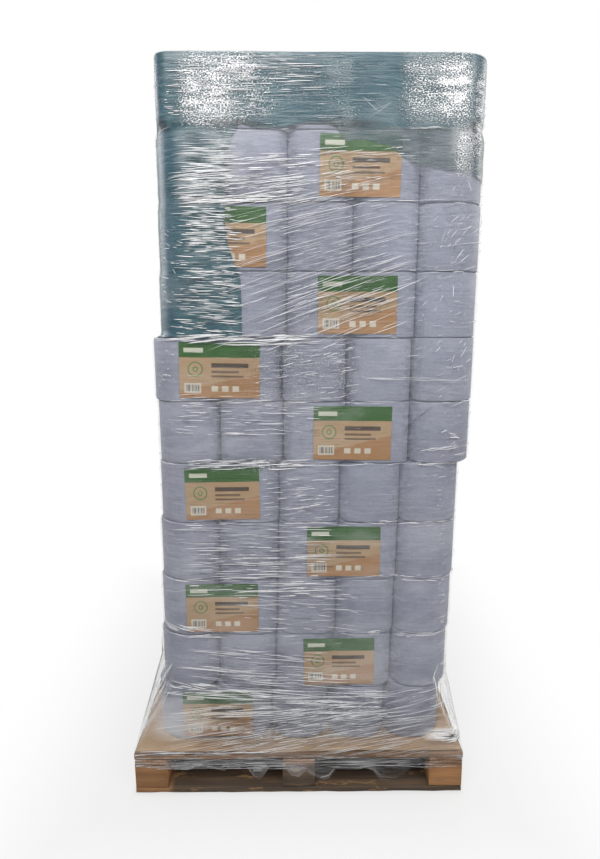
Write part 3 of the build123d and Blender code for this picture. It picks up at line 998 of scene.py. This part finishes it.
# %% Film shape
film_columns, film_rows_down = 230, 340
film_stand = 0.0046
film_shoulder = 0.008
film_top = load_top + 0.0062
lap_width = 0.085
lap_sag = 0.0045
neck, right_neck = layer_bottom[0] + 0.255, layer_bottom[0] + 0.18
right_from, right_to = (0.5, 0.68), (1.0, 0.86)
rim_half_x, rim_half_y, rim_radius = 0.5013, 0.6013, 0.006
rim_top = layer_bottom[0]
hem_level = 0.080
lap_rows, turn_rows, flare_rows, rim_rows = 8, 6, 45, 8
film_crease, lap_end, skirt_end = 0.0004, -0.01, 0.85


def film_flare(u, z):
    """Height at which the film leaves the load, which is lower on the right, and how far a point has come
    from there to the pallet's rim, from 0 to 1."""
    right = eased(*right_from, u % 1.0) * eased(*right_to, u % 1.0)
    level = neck + (right_neck - neck) * right
    return level, np.clip((level - z) / (level - rim_top), 0, 1)


def film_profile():
    """Growth from the load's plan and height of each row, from the inner rim of the top lap, over the
    shoulder, down the load and the flare, to the hem."""
    lap = np.linspace(-lap_width, -film_shoulder, lap_rows, endpoint=False)
    turn = np.linspace(0, math.pi / 2, turn_rows)
    shoulder_grow = film_stand - film_shoulder * (1 - np.sin(turn))
    shoulder_z = film_top - film_shoulder * (1 - np.cos(turn))
    down = np.linspace(shoulder_z[-1], neck, film_rows_down)[1:]
    flare = np.linspace(neck, rim_top, flare_rows + 1)[1:]
    rim = np.linspace(rim_top, hem_level, rim_rows + 1)[1:]
    grow = np.concatenate([lap, shoulder_grow, np.full(len(down) + len(flare) + len(rim), film_stand)])
    lap_z = film_top - lap_sag * eased(-film_shoulder, -lap_width / 2, lap)
    return grow, np.concatenate([lap_z, shoulder_z, down, flare, rim])


def film_points(u, grow, z):
    """Points of the film: the load's plan at its height, drawn straight over to the pallet's rim by the
    share of the flare, then moved in and out by the dips at the joints and by creases."""
    level, share = film_flare(u, z)
    tube_z = np.maximum(z, level)
    radius = corner_radius(u, tube_z) + grow
    x, y, out_x, out_y = plan_point(u, half_width + grow, half_length + grow, radius)
    x = settled(x, tube_z)
    rim_x, rim_y = plan_point(u, rim_half_x, rim_half_y, rim_radius)[:2]
    x, y = x * (1 - share) + rim_x * share, y * (1 - share) + rim_y * share
    tall = z / film_top
    gathers = soft_noise(u, tall, 90, 190, 42) + soft_noise(u, tall, 36, 70, 43)
    swell = soft_noise(u, tall, 20, 12, 44)
    side = eased(lap_end, 0.0, grow) * (1 - eased(skirt_end, 1, share))
    move = side * (film_crease * (gathers + swell) - (1 - share) * joint_dip(u, z))
    z = z - slump(x, y) * eased(load_top - slump_down, load_top, z)
    return np.stack([x + move * out_x, y + move * out_y, z], -1)


grow, z = (values[:, None] for values in film_profile())
u_film = np.linspace(0, 1, film_columns, endpoint=False)[None]
film_grid = film_points(*np.broadcast_arrays(u_film, grow, z))
print("film grid", film_grid.shape)

# %% Torn hem
torn = 0.5 + 0.5 * soft_noise(u_film[0], 0 * u_film[0], 90, 2, 51)
tatters = eased(0.45, 0.95, soft_noise(u_film[0], 0 * u_film[0], 46, 2, 52))
hem_rise, hem_fall, tatter_rise = 0.022, 0.030, 0.012
hem_shift = hem_rise * torn - hem_fall * tatters
front_tatters = [(-0.125, 0.022, 0.045), (-0.005, 0.03, 0.035), (0.07, 0.035, 0.050), (0.28, 0.05, 0.055)]
hem_x = film_grid[-1, :, 0]
on_front = film_grid[-1, :, 1] < -half_length
for middle, reach, drop in front_tatters:
    tatter = on_front * drop * np.exp(-(((hem_x - middle) / reach) ** 4))
    hem_shift = np.minimum(hem_shift, tatter_rise - tatter)
below_rim = eased(rim_top, hem_level, z)
film_grid[..., 2] += below_rim * hem_shift[None]
hem_z = film_grid[-1, :, 2]
print("hem from", round(float(hem_z.min()), 3), "to", round(float(hem_z.max()), 3), "m")

# %% Film finish
clear = Finish("stretch_film", Roughness=0.25, Specular_IOR_Level=0.5)
clear_uv = clear.place("UV")
clear_dash = clear.noise(clear.stretched(clear_uv, (13, 560, 1)), 1.0, 1.0, 0.6)
clear_speck = clear.noise(clear.stretched(clear_uv, (240, 430, 1), shift=(3, 7, 0)), 1.0, 1.0, 0.6)
clear_line = clear.noise(clear.stretched(clear_uv, (5, 300, 1), shift=(9, 1, 0)), 1.0, 1.0, 0.5)
clear_cloud = clear.noise(clear.stretched(clear_uv, (5, 14, 1)), 1.0, 3.0)
sweep_slant = math.radians(12)
turned_uv = clear.stretched(clear_uv, (1, 1, 1), turn=(0, 0, sweep_slant))
clear_sweep = clear.noise(clear.stretched(turned_uv, (16, 560, 1)), 1.0, 1.0, 0.6)
clear_patch = clear.span(clear.noise(clear.stretched(clear_uv, (22, 60, 1)), 1.0, 2.0), 0.3, 0.7, 0.75, 1.15)
white_level, white_gain, white_edge, white_least, white_more = 0.78, 0.27, 0.06, 0.45, 0.45
dark_level, dark_full, dark_most = 0.50, 0.40, 0.5
painted_glint_share, painted_shadow_share = 0.0, 0.0
# Painted highlights: each pattern goes white over one limit, and gives dark flecks of painted shadow under
# another.
for pattern, name in ((clear_dash, "dashes"), (clear_speck, "specks"), (clear_sweep, "sweeps")):
    amount = clear.math("MULTIPLY", clear.value(name), clear_patch)
    white_from = clear.math("SUBTRACT", white_level, clear.math("MULTIPLY", amount, white_gain))
    white = clear.span(clear.math("SUBTRACT", pattern, white_from), 0.0, white_edge)
    brightness = clear.math("ADD", white_least, clear.math("MULTIPLY", amount, white_more))
    painted_glint_share = clear.math("MAXIMUM", clear.math("MULTIPLY", white, brightness), painted_glint_share)
    dark = clear.math("MULTIPLY", clear.span(pattern, dark_level, dark_full), amount)
    painted_shadow_share = clear.math("MAXIMUM", clear.math("MULTIPLY", dark, dark_most), painted_shadow_share)
# Soft haze, partly the film's own and partly painted glare, with fine pale lines of painted sheen.
haze_and_glare = clear.math("MULTIPLY", clear.value("haze_and_glare"), clear.span(clear_cloud, 0.3, 0.75, 0.4, 1.4))
sheen_line_share = clear.math("MULTIPLY", clear.span(clear_line, 0.56, 0.68), clear.math("ADD", haze_and_glare, 0.06))
glint_and_haze_share = clear.math("MAXIMUM", clear.math("MAXIMUM", haze_and_glare, sheen_line_share), painted_glint_share)
clear.set("Alpha", clear.math("MAXIMUM", glint_and_haze_share, painted_shadow_share))
darker = clear.math("GREATER_THAN", painted_shadow_share, glint_and_haze_share)
# White where painted highlights, sheen and haze show, dark where painted shadow wins.
clear.set("Base Color", clear.blend(darker, paint(246, 247, 248), paint(28, 36, 40)))
clear.bump(clear_dash, 0.6, 0.002)
print("film finish,", len(clear.tree.nodes), "nodes")

# %% [markdown]
# ## Where the film glares
# Glare belongs to the place as much as to the film, so the spots are read off the picture. Each
# row gives a spot's middle and its reach across and down, both in picture points, and its strength. A
# sight line through the camera carries a spot to the front of the film. The unseen sides get a soft
# random share of each pattern.

# %% Spots of glare
front_plane = -(half_length + film_stand)
skirt_row = 715
dash_zones = [
    ((207, 165), (32, 36), 0.95),
    ((206, 225), (28, 40), 0.9),
    ((210, 290), (34, 46), 0.7),
    ((236, 60), (60, 12), 0.8),
    ((290, 185), (60, 34), 0.4),
    ((350, 168), (50, 28), 0.5),
    ((430, 150), (42, 24), 0.4),
    ((320, 250), (60, 50), 0.35),
    ((240, 370), (60, 30), 0.35),
    ((310, 355), (50, 34), 0.5),
    ((225, 412), (50, 14), 0.5),
    ((250, 462), (60, 8), 0.6),
    ((295, 497), (30, 20), 0.5),
    ((262, 555), (66, 42), 0.65),
    ((300, 608), (50, 26), 0.45),
    ((270, 690), (60, 40), 0.6),
    ((330, 705), (40, 30), 0.6),
    ((235, 766), (70, 7), 0.55),
    ((370, 764), (70, 8), 0.35),
]
sweep_zones = [
    ((270, 736), (70, 14), 0.75),
    ((340, 716), (60, 16), 0.7),
    ((320, 250), (70, 60), 0.5),
    ((340, 295), (60, 26), 0.6),
    ((410, 715), (40, 20), 0.4),
]
speck_zones = [
    ((207, 90), (33, 42), 1.15),
    ((232, 66), (32, 18), 1.1),
    ((250, 95), (30, 34), 0.8),
    ((436, 88), (35, 38), 0.95),
    ((456, 88), (18, 38), 1.3),
    ((464, 150), (9, 30), 1.0),
    ((482, 110), (3, 58), 1.1),
    ((155, 90), (4, 44), 0.9),
    ((157, 230), (4, 100), 0.75),
    ((340, 112), (26, 12), 0.5),
    ((340, 85), (16, 36), 0.5),
    ((290, 85), (50, 36), 0.45),
    ((255, 465), (40, 8), 0.7),
    ((300, 372), (70, 34), 0.5),
]
# Spots of haze, partly the film's own and partly painted glare.
haze_and_glare_zones = [
    ((208, 165), (34, 40), 0.30),
    ((207, 90), (33, 42), 0.24),
    ((340, 92), (15, 40), 0.16),
    ((440, 88), (34, 40), 0.28),
    ((464, 150), (10, 36), 0.3),
    ((186, 712), (32, 20), 0.28),
    ((240, 430), (80, 60), 0.10),
    ((250, 560), (80, 60), 0.12),
    ((300, 660), (120, 60), 0.12),
    ((300, 735), (150, 24), 0.12),
    ((444, 737), (18, 5), 0.7),
    ((235, 767), (72, 6), 0.28),
    ((395, 764), (50, 8), 0.18),
]
print(len(dash_zones + sweep_zones + speck_zones + haze_and_glare_zones), "spots")


# %% Glare as point values
def picture_point(pixels, plane_y):
    """x and z where the sight lines through picture points meet an upright plane."""
    pixels = np.asarray(pixels, float)
    turn = np.array(camera.rotation_euler.to_matrix())
    ray = np.stack([
        (pixels[..., 0] - image_width / 2) / focal_points,
        (image_height / 2 - pixels[..., 1]) / focal_points,
        np.full(pixels.shape[:-1], -1.0),
    ], -1) @ turn.T
    way = (plane_y - camera_place[1]) / ray[..., 1]
    return camera_place[0] + way * ray[..., 0], camera_place[2] + way * ray[..., 2]


film_x, film_z = film_grid[..., 0], film_grid[..., 2]
front_face = eased(-half_length + 0.13, -half_length + 0.07, film_grid[..., 1])
side_gain = 2.4
skirt_haze_and_glare, skirt_soft = 0.08, 0.05


def zone_values(zones, base, seed):
    """A value for each point of the film: a soft random base, more on the sides and the rear, and on the
    front bell-shaped spots with the given middles, reaches and strengths."""
    share = side_gain + (1 - side_gain) * front_face
    values = (base + base * soft_noise(u_film, z / film_top, 22, 15, seed)) * share
    for centre, size, strength in zones:
        plane = front_plane if centre[1] < skirt_row else -rim_half_y
        corner_x, corner_z = picture_point(np.array([centre, np.add(centre, size)]), plane)
        reach_x, reach_z = corner_x[1] - corner_x[0], corner_z[0] - corner_z[1]
        way = ((film_x - corner_x[0]) / reach_x) ** 6 + ((film_z - corner_z[0]) / reach_z) ** 4
        values = np.maximum(values, strength * np.exp(-way) * front_face)
    return values


# Soft haze on the skirt, partly the film's own and partly painted glare.
on_skirt = skirt_haze_and_glare * eased(neck + skirt_soft, neck - skirt_soft, film_z)
film_values = {
    "dashes": zone_values(dash_zones, 0.2, 45),
    "specks": zone_values(speck_zones, 0.1, 46),
    "sweeps": zone_values(sweep_zones, 0.1, 48),
    "haze_and_glare": np.maximum(zone_values(haze_and_glare_zones, 0.05, 47), on_skirt),
}
print("haze up to", round(float(film_values["haze_and_glare"].max()), 2))

# %% Film piece
film_count = film_grid.shape[0]
film_faces = grid_faces(film_count, film_columns, closed=True)
way_down = np.concatenate([[0], np.cumsum(np.hypot(np.diff(grow[:, 0]), np.diff(z[:, 0])))])
uv_u, uv_v = np.meshgrid(np.linspace(0, way_round, film_columns + 1), way_down)
film_uv = np.stack([uv_u.ravel(), uv_v.ravel()], -1)[grid_faces(film_count, film_columns + 1)]
film = put_piece(
    "stretch_film_wound", film_grid, film_faces.tolist(), [clear.material], film_uv, film_values
)
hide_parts("stretch_film")
print("film", len(film_faces), "faces")

# %% [markdown]
# ## Creases of the film
# Where a turn of film is pulled at a slant, it gathers in long thin creases that catch the light. Bump
# alone gives only short flecks, so the creases are drawn as thousands of slim ridges on the film, coloured
# with a painted highlight along each ridge and a painted shadow below it, and some painted dark all over.
# A ridge is a strip with a few faces, worked out on the film's own formula from a middle, a length and a
# slant. The groups on the front are read off the picture. Each row gives a group's middle and
# reach, its slants at the foot and the top in degrees, their scatter and the number of creases, then the
# least and most length and width, all in picture points, and strength. Other sides are strewn at random.

# %% Crease finish
crease_finish = Finish("film_crease", Roughness=0.3, Specular_IOR_Level=0.5)
crease_uv = crease_finish.node("SeparateXYZ", {"Vector": crease_finish.place("UV")})
crease_across = crease_uv.node.outputs[1]
# Painted highlight: white along the upper part of each ridge, with a painted shadow along its lower edge;
# ridges marked dark are painted shadow all over.
crease_shadow_edge = crease_finish.span(crease_across, 0.55, 0.7)
crease_shade = crease_finish.math("MAXIMUM", crease_shadow_edge, crease_finish.value("dark"))
crease_finish.set("Base Color", crease_finish.blend(crease_shade, paint(250, 250, 251), paint(44, 48, 54)))
crease_along = crease_finish.math("PINGPONG", crease_uv, 0.5)
crease_edge = crease_finish.math("PINGPONG", crease_across, 0.5)
crease_alpha = crease_finish.math(
    "MULTIPLY", crease_finish.span(crease_along, 0.0, 0.3), crease_finish.span(crease_edge, 0.0, 0.25)
)
crease_alpha = crease_finish.math("MULTIPLY", crease_alpha, crease_finish.span(crease_shade, 0, 1, 1.0, 0.5))
crease_finish.set("Alpha", crease_finish.math("MULTIPLY", crease_alpha, crease_finish.value("strength")))
print("crease finish,", len(crease_finish.tree.nodes), "nodes")

# %% Where creases lie
picture_creases = [
    ((316, 255), (80, 82), (9, 22), 1.2, 270, (12, 90), (0.4, 0.9), (0.3, 0.85)),
    ((340, 290), (60, 30), (19, 21), 1.0, 18, (50, 120), (0.7, 1.2), (0.45, 0.85)),
    ((245, 178), (65, 25), (2, 8), 1.5, 150, (10, 55), (0.6, 1.3), (0.45, 1.0)),
    ((222, 199), (40, 4), (1, 3), 1, 44, (16, 55), (1.0, 2.0), (0.5, 1.0)),
    ((245, 340), (60, 5), (4, 4), 1.5, 46, (16, 65), (0.9, 1.9), (0.5, 1.0)),
    ((208, 255), (30, 80), (0, -4), 2, 260, (7, 32), (0.6, 1.3), (0.45, 1.0)),
    ((262, 560), (70, 38), (-1, 1), 1, 150, (10, 65), (0.5, 1.2), (0.35, 0.95)),
    ((265, 672), (65, 26), (-6, -4), 1, 100, (16, 80), (0.4, 0.9), (0.35, 0.9)),
    ((300, 703), (80, 14), (-2, 2), 1, 100, (16, 80), (0.4, 0.9), (0.35, 0.9)),
    ((300, 732), (100, 24), (6, 15), 1.5, 240, (12, 80), (0.35, 0.8), (0.25, 0.8)),
    ((410, 712), (40, 22), (10, 15), 1.5, 30, (20, 70), (0.6, 1.1), (0.2, 0.5)),
    ((445, 705), (14, 30), (70, 60), 8, 50, (8, 36), (0.6, 1.1), (0.4, 0.9)),
    ((440, 736), (22, 5), (0, 6), 3, 80, (8, 32), (0.9, 1.8), (0.6, 1.0)),
    ((455, 330), (18, 150), (40, 30), 25, 90, (4, 18), (0.6, 1.1), (0.3, 0.8)),
    ((430, 300), (40, 80), (10, 10), 18, 50, (4, 16), (0.6, 1.1), (0.25, 0.6)),
    ((245, 415), (70, 20), (3, -3), 3, 80, (8, 36), (0.5, 1.1), (0.3, 0.8)),
    ((236, 434), (12, 1), (0, 0), 0.5, 6, (14, 34), (0.9, 1.5), (0.8, 1.0)),
    ((245, 465), (55, 5), (1, 1), 2, 60, (8, 36), (0.7, 1.5), (0.45, 1.0)),
    ((300, 500), (34, 22), (4, 8), 3, 70, (6, 22), (0.5, 1.1), (0.3, 0.85)),
    ((310, 370), (50, 34), (18, 8), 5, 110, (5, 22), (0.5, 1.1), (0.3, 0.7)),
    ((300, 610), (60, 24), (-2, -6), 2, 60, (8, 50), (0.5, 1.1), (0.3, 0.7)),
    ((186, 629), (18, 2), (-9, -9), 2, 12, (16, 36), (0.7, 1.3), (0.5, 0.9)),
    ((198, 686), (18, 2), (-9, -9), 2, 12, (16, 36), (0.7, 1.3), (0.5, 0.9)),
    ((250, 72), (70, 20), (0, 0), 1, 130, (6, 40), (0.5, 1.1), (0.35, 1.0)),
    ((225, 105), (50, 20), (0, 0), 3, 90, (3, 12), (0.6, 1.2), (0.4, 1.0)),
    ((320, 85), (70, 34), (0, 0), 1, 90, (10, 60), (0.4, 0.8), (0.2, 0.5)),
    ((360, 168), (44, 24), (4, 12), 3, 80, (6, 34), (0.5, 1.1), (0.35, 0.9)),
    ((300, 762), (160, 7), (1, -1), 1.5, 110, (10, 80), (0.5, 1.2), (0.35, 0.9)),
    ((215, 754), (55, 2), (2, 2), 1.5, 26, (12, 46), (0.8, 1.6), (0.6, 1.0)),
    ((228, 766), (60, 3), (1, 1), 1.5, 30, (10, 40), (0.8, 1.6), (0.6, 1.0)),
    ((172, 300), (10, 90), (-15, -15), 15, 50, (3, 10), (0.6, 1.1), (0.3, 0.8)),
    ((378, 112), (10, 7), (32, 32), 8, 6, (10, 26), (0.5, 0.9), (0.2, 0.35)),
    ((372, 104), (9, 7), (-35, -35), 8, 6, (10, 24), (0.5, 0.9), (0.2, 0.35)),
    ((445, 762), (1, 1), (-73, -73), 3, 3, (9, 12), (1.2, 2.0), (0.7, 0.9)),
    ((416, 419), (1, 1), (43, 43), 0.5, 3, (36, 44), (0.5, 0.9), (0.6, 0.9)),
    ((436, 449), (14, 2), (8, 8), 5, 10, (8, 20), (0.6, 1.2), (0.5, 0.9)),
    ((451, 436), (4, 2), (-15, -15), 5, 6, (4, 9), (0.8, 1.3), (0.6, 1.0)),
    ((420, 379), (44, 1), (0, 0), 1.5, 9, (30, 60), (0.5, 0.9), (0.4, 0.7)),
    ((444, 585), (3, 100), (0, 0), 6, 90, (2, 7), (0.4, 0.8), (0.25, 0.6)),
    ((156, 696), (8, 46), (78, 78), 6, 90, (10, 40), (0.6, 1.1), (0.4, 0.9)),
    ((395, 632), (34, 1), (2, 2), 3, 10, (6, 20), (0.6, 1.1), (0.4, 0.9)),
    ((405, 576), (34, 1), (2, 2), 3, 10, (6, 20), (0.6, 1.1), (0.4, 0.9)),
    ((410, 522), (34, 1), (2, 2), 3, 10, (6, 20), (0.6, 1.1), (0.4, 0.9)),
    ((400, 464), (40, 1), (2, 2), 3, 12, (6, 20), (0.6, 1.1), (0.4, 0.9)),
]
print(len(picture_creases), "groups of creases")


# %% Creases of the front
def film_place(pixels):
    """The way round and the height of the film seen at picture points of the front. The skirt leans out,
    so the plane that is met is brought up to date a few times."""
    u, plane = 0.5, np.full(np.shape(pixels)[:-1], front_plane)
    for turn in range(4):
        x, z = picture_point(pixels, plane)
        level, flare = film_flare(u, z)
        plane = front_plane + flare * (-rim_half_y - front_plane)
        middle = np.interp(np.maximum(z, level), layer_middle, layer_x) * (1 - flare)
        wide = half_width + flare * (rim_half_x - half_width)
        u = front_u((x - middle) * half_width / wide)
    return u, z


random = np.random.default_rng(71)
least_point, most_point = 0.002, 0.0045
length_power = 1.5
crease_rows = []


def strew(u, z, length, slant, width, strength):
    """Adds creases to the table: the way round, height, length, slant in degrees, width and strength."""
    crease_rows.append(np.stack(np.broadcast_arrays(u, z, length, np.radians(slant), width, strength)))


for centre, size, slants, scatter, count, lengths, widths, strengths in picture_creases:
    spread = random.uniform(-1, 1, (count, 2))
    middle = np.array(centre) + np.array(size) * spread
    u, height = film_place(middle)
    next_u = film_place(middle + np.array([1.0, 0.0]))[0]
    point_size = np.clip(np.abs(next_u - u) * way_round, least_point, most_point)
    lengths = lengths[0] + (lengths[1] - lengths[0]) * random.uniform(0, 1, count) ** length_power
    slants = np.interp(spread[:, 1], [-1, 1], slants)
    strew(
        u, height, point_size * lengths, random.normal(slants, scatter),
        point_size * random.uniform(*widths, count), random.uniform(*strengths, count),
    )

# %% Creases at corners, joints and sides
fine_width, full_strength = (0.0012, 0.003), (0.3, 0.9)
past_corner, corner_scatter, corner_lean, corner_share = 0.012, 0.02, 4, (0.45, 0.9)
skirt_corners = [
    (way_marks[3] - past_corner, way_marks[4], 60),
    (way_marks[5], way_marks[6] + past_corner, 30),
]
for first, last, count in skirt_corners:
    u = random.uniform(first, last, count)
    level, flare = film_flare(u, rim_top)
    strew(
        u, random.normal((level + rim_top) / 2, corner_scatter),
        random.uniform(*corner_share, count) * (level - rim_top), random.normal(90, corner_lean, count),
        random.uniform(*fine_width, count), random.uniform(*full_strength, count),
    )
joint_scatter, joint_lean, joint_least, joint_more = 0.003, 3, 0.02, 0.10
joint_rings = [(level, 0.0, 1.0, 56) for level in layer_bottom[1:]]
joint_rings += [(level, way_marks[3], way_marks[4] + 0.03, 16) for level in layer_bottom[1:3]]
joint_rings += [(level, way_marks[5] - 0.02, way_marks[6], 12) for level in layer_bottom[2:6]]
for level, first, last, count in joint_rings:
    strew(
        random.uniform(first, last, count), random.normal(level, joint_scatter, count),
        joint_least + joint_more * random.uniform(0, 1, count) ** 2, random.normal(0, joint_lean, count),
        random.uniform(*fine_width, count), random.uniform(*full_strength, count),
    )
side_count, side_slant, side_lean = 1300, 4, 9
side_least, side_more, side_margin, top_margin = 0.03, 0.25, 0.02, 0.03
side_u = random.uniform(way_marks[5] + side_margin, 1 + way_marks[4] - side_margin, side_count) % 1.0
side_z = random.uniform(rim_top, film_top - top_margin, side_count)
strew(
    side_u, side_z, side_least + side_more * random.uniform(0, 1, side_count) ** 2,
    random.normal(side_slant, side_lean, side_count),
    random.uniform(*fine_width, side_count), random.uniform(*full_strength, side_count),
)
crease_u, crease_z, crease_length, crease_slant, crease_width, crease_strength = (
    np.concatenate(crease_rows, axis=1)[..., None, None]
)
print(crease_u.size, "creases strewn")

# %% Crease shape
crease_stations, crease_raise, crease_stand = 7, 0.0009, 0.0004
crease_bend, crease_margin = 0.03, 0.004
dark_creases = 0.22
along = np.linspace(-0.5, 0.5, crease_stations)[None, :, None]
across = np.array([0.5, 0.0, -0.5])[None, None, :]
bend = random.uniform(-crease_bend, crease_bend, crease_u.shape)
run = along * crease_length
rise = (along ** 2 - 0.25) * 4 * bend * crease_length
right = run * np.cos(crease_slant) - (rise + across * crease_width) * np.sin(crease_slant)
up = run * np.sin(crease_slant) + (rise + across * crease_width) * np.cos(crease_slant)
ridge_z = np.minimum(crease_z + up, film_top - film_shoulder - crease_margin)
ridge_u = crease_u + right / way_round
ridge_grow = film_stand + crease_stand + crease_raise * (1 - 4 * across ** 2)
crease_points = film_points(*np.broadcast_arrays(ridge_u, ridge_grow, ridge_z))
crease_count = len(crease_points)
crease_dark = random.uniform(0, 1, (crease_count, 1, 1)) < dark_creases
strip = np.transpose(np.arange(crease_stations * 3).reshape(crease_stations, 3))
strip_faces = strip.ravel()[grid_faces(3, crease_stations)]
crease_faces = strip_faces[None] + (np.arange(crease_count) * strip.size)[:, None, None]
strip_uv = np.stack(np.meshgrid(np.linspace(0, 1, crease_stations), [0, 0.5, 1], indexing="ij"), -1)
strip_corner_uv = strip_uv.reshape(-1, 2)[strip_faces]
creases = put_piece(
    "film_creases", crease_points, crease_faces.reshape(-1, 4).tolist(), [crease_finish.material],
    np.tile(strip_corner_uv, (crease_count, 1, 1)),
    {
        "strength": np.broadcast_to(crease_strength, (crease_count, crease_stations, 3)),
        "dark": np.broadcast_to(crease_dark, (crease_count, crease_stations, 3)),
    },
)
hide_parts("stretch_film")
print(crease_count, "creases")

# %% [markdown]
# ## Floor, background and light
# The load stands on a plain pale floor in a white room with soft light: a large lamp high on the left in
# front, a weaker one on the right, three for the sides and the rear, and an even sky. The floor is drawn
# towards white for the camera, so that it runs into the background, and still takes the load's shadow.

# %% Floor
scene = bpy.context.scene
scene.view_settings.view_transform = "Standard"
floor_half = 12.0
floor_points = np.array([(-1, -1), (1, -1), (1, 1), (-1, 1)]) * floor_half
floor_mesh = bpy.data.meshes.new("floor")
floor_mesh.from_pydata([(x, y, 0.0) for x, y in floor_points.tolist()], [], [(0, 1, 2, 3)])
floor = bpy.data.objects.new("floor", floor_mesh)
scene.collection.objects.link(floor)

floor_finish = Finish("pale_floor", Roughness=0.9)
floor_finish.set("Base Color", (0.5, 0.5, 0.5, 1.0))
floor_tree = floor_finish.tree
light_path = floor_tree.nodes.new("ShaderNodeLightPath")
seen = floor_finish.math("MAXIMUM", light_path.outputs["Is Camera Ray"], light_path.outputs["Is Glossy Ray"])
seen = floor_finish.math("MAXIMUM", seen, light_path.outputs["Is Transmission Ray"])
floor_place = floor_finish.node("SeparateXYZ", {"Vector": floor_finish.place()})
floor_x = floor_finish.math("SUBTRACT", floor_finish.math("ABSOLUTE", floor_place), rim_half_x)
floor_y = floor_finish.math("ABSOLUTE", floor_place.node.outputs[1])
from_load = floor_finish.math("MAXIMUM", floor_x, floor_finish.math("SUBTRACT", floor_y, rim_half_y))
near_pale = 0.72
pale = floor_finish.math(
    "ADD",
    floor_finish.span(from_load, -0.06, 0.02, 0.0, near_pale),
    floor_finish.span(from_load, 0.0, 0.6, 0.0, 1 - near_pale),
)
glow = floor_tree.nodes.new("ShaderNodeEmission")
floor_mix = floor_tree.nodes.new("ShaderNodeMixShader")
floor_output = floor_tree.nodes["Material Output"]
floor_tree.links.new(floor_finish.math("MULTIPLY", seen, pale), floor_mix.inputs[0])
floor_tree.links.new(floor_finish.shader.outputs[0], floor_mix.inputs[1])
floor_tree.links.new(glow.outputs[0], floor_mix.inputs[2])
floor_tree.links.new(floor_mix.outputs[0], floor_output.inputs["Surface"])
floor_mesh.materials.append(floor_finish.material)
print("floor", 2 * floor_half, "m wide")

# %% World
world = bpy.data.worlds.new("white_room")
world.use_nodes = True
scene.world = world
world_tree = world.node_tree
sky_level = 0.19
backdrop = world_tree.nodes["Background"]
path = world_tree.nodes.new("ShaderNodeLightPath")
look = world_tree.nodes.new("ShaderNodeMath")
look.operation = "MAXIMUM"
look_glass = world_tree.nodes.new("ShaderNodeMath")
look_glass.operation = "MAXIMUM"
strength = world_tree.nodes.new("ShaderNodeMapRange")
strength.inputs["To Min"].default_value = sky_level
strength.inputs["To Max"].default_value = 1.0
world_tree.links.new(path.outputs["Is Camera Ray"], look.inputs[0])
world_tree.links.new(path.outputs["Is Glossy Ray"], look.inputs[1])
world_tree.links.new(look.outputs[0], look_glass.inputs[0])
world_tree.links.new(path.outputs["Is Transmission Ray"], look_glass.inputs[1])
world_tree.links.new(look_glass.outputs[0], strength.inputs["Value"])
world_tree.links.new(strength.outputs[0], backdrop.inputs["Strength"])
backdrop.inputs["Color"].default_value = (1.0, 1.0, 1.0, 1.0)
print("sky level", sky_level)

# %% Lamps
# name, place, target, size in metres, power in watts
lamp_table = [
    ("key_lamp", (-0.7, -2.9, 4.3), (0.0, -0.5, 1.9), 2.2, 146.0),
    ("side_lamp", (2.2, -3.2, 3.8), (0.0, 0.0, 2.0), 2.2, 74.0),
    ("back_lamp", (0.6, 3.6, 3.4), (0.0, 0.0, 1.4), 2.6, 110.0),
    ("left_lamp", (-3.6, 0.8, 2.6), (0.0, 0.2, 1.2), 2.2, 50.0),
    ("right_lamp", (3.6, 0.8, 2.6), (0.0, 0.2, 1.2), 2.2, 50.0),
]
for name, place, target, size, power in lamp_table:
    lamp_data = bpy.data.lights.new(name, "AREA")
    lamp_data.size = size
    lamp_data.energy = power
    lamp = bpy.data.objects.new(name, lamp_data)
    lamp.location = place
    aim = np.subtract(target, place)
    lamp.rotation_euler = (
        math.atan2(math.hypot(aim[0], aim[1]), -aim[2]), 0.0, math.atan2(aim[1], aim[0]) - math.pi / 2
    )
    scene.collection.objects.link(lamp)
print(len(lamp_table), "lamps")
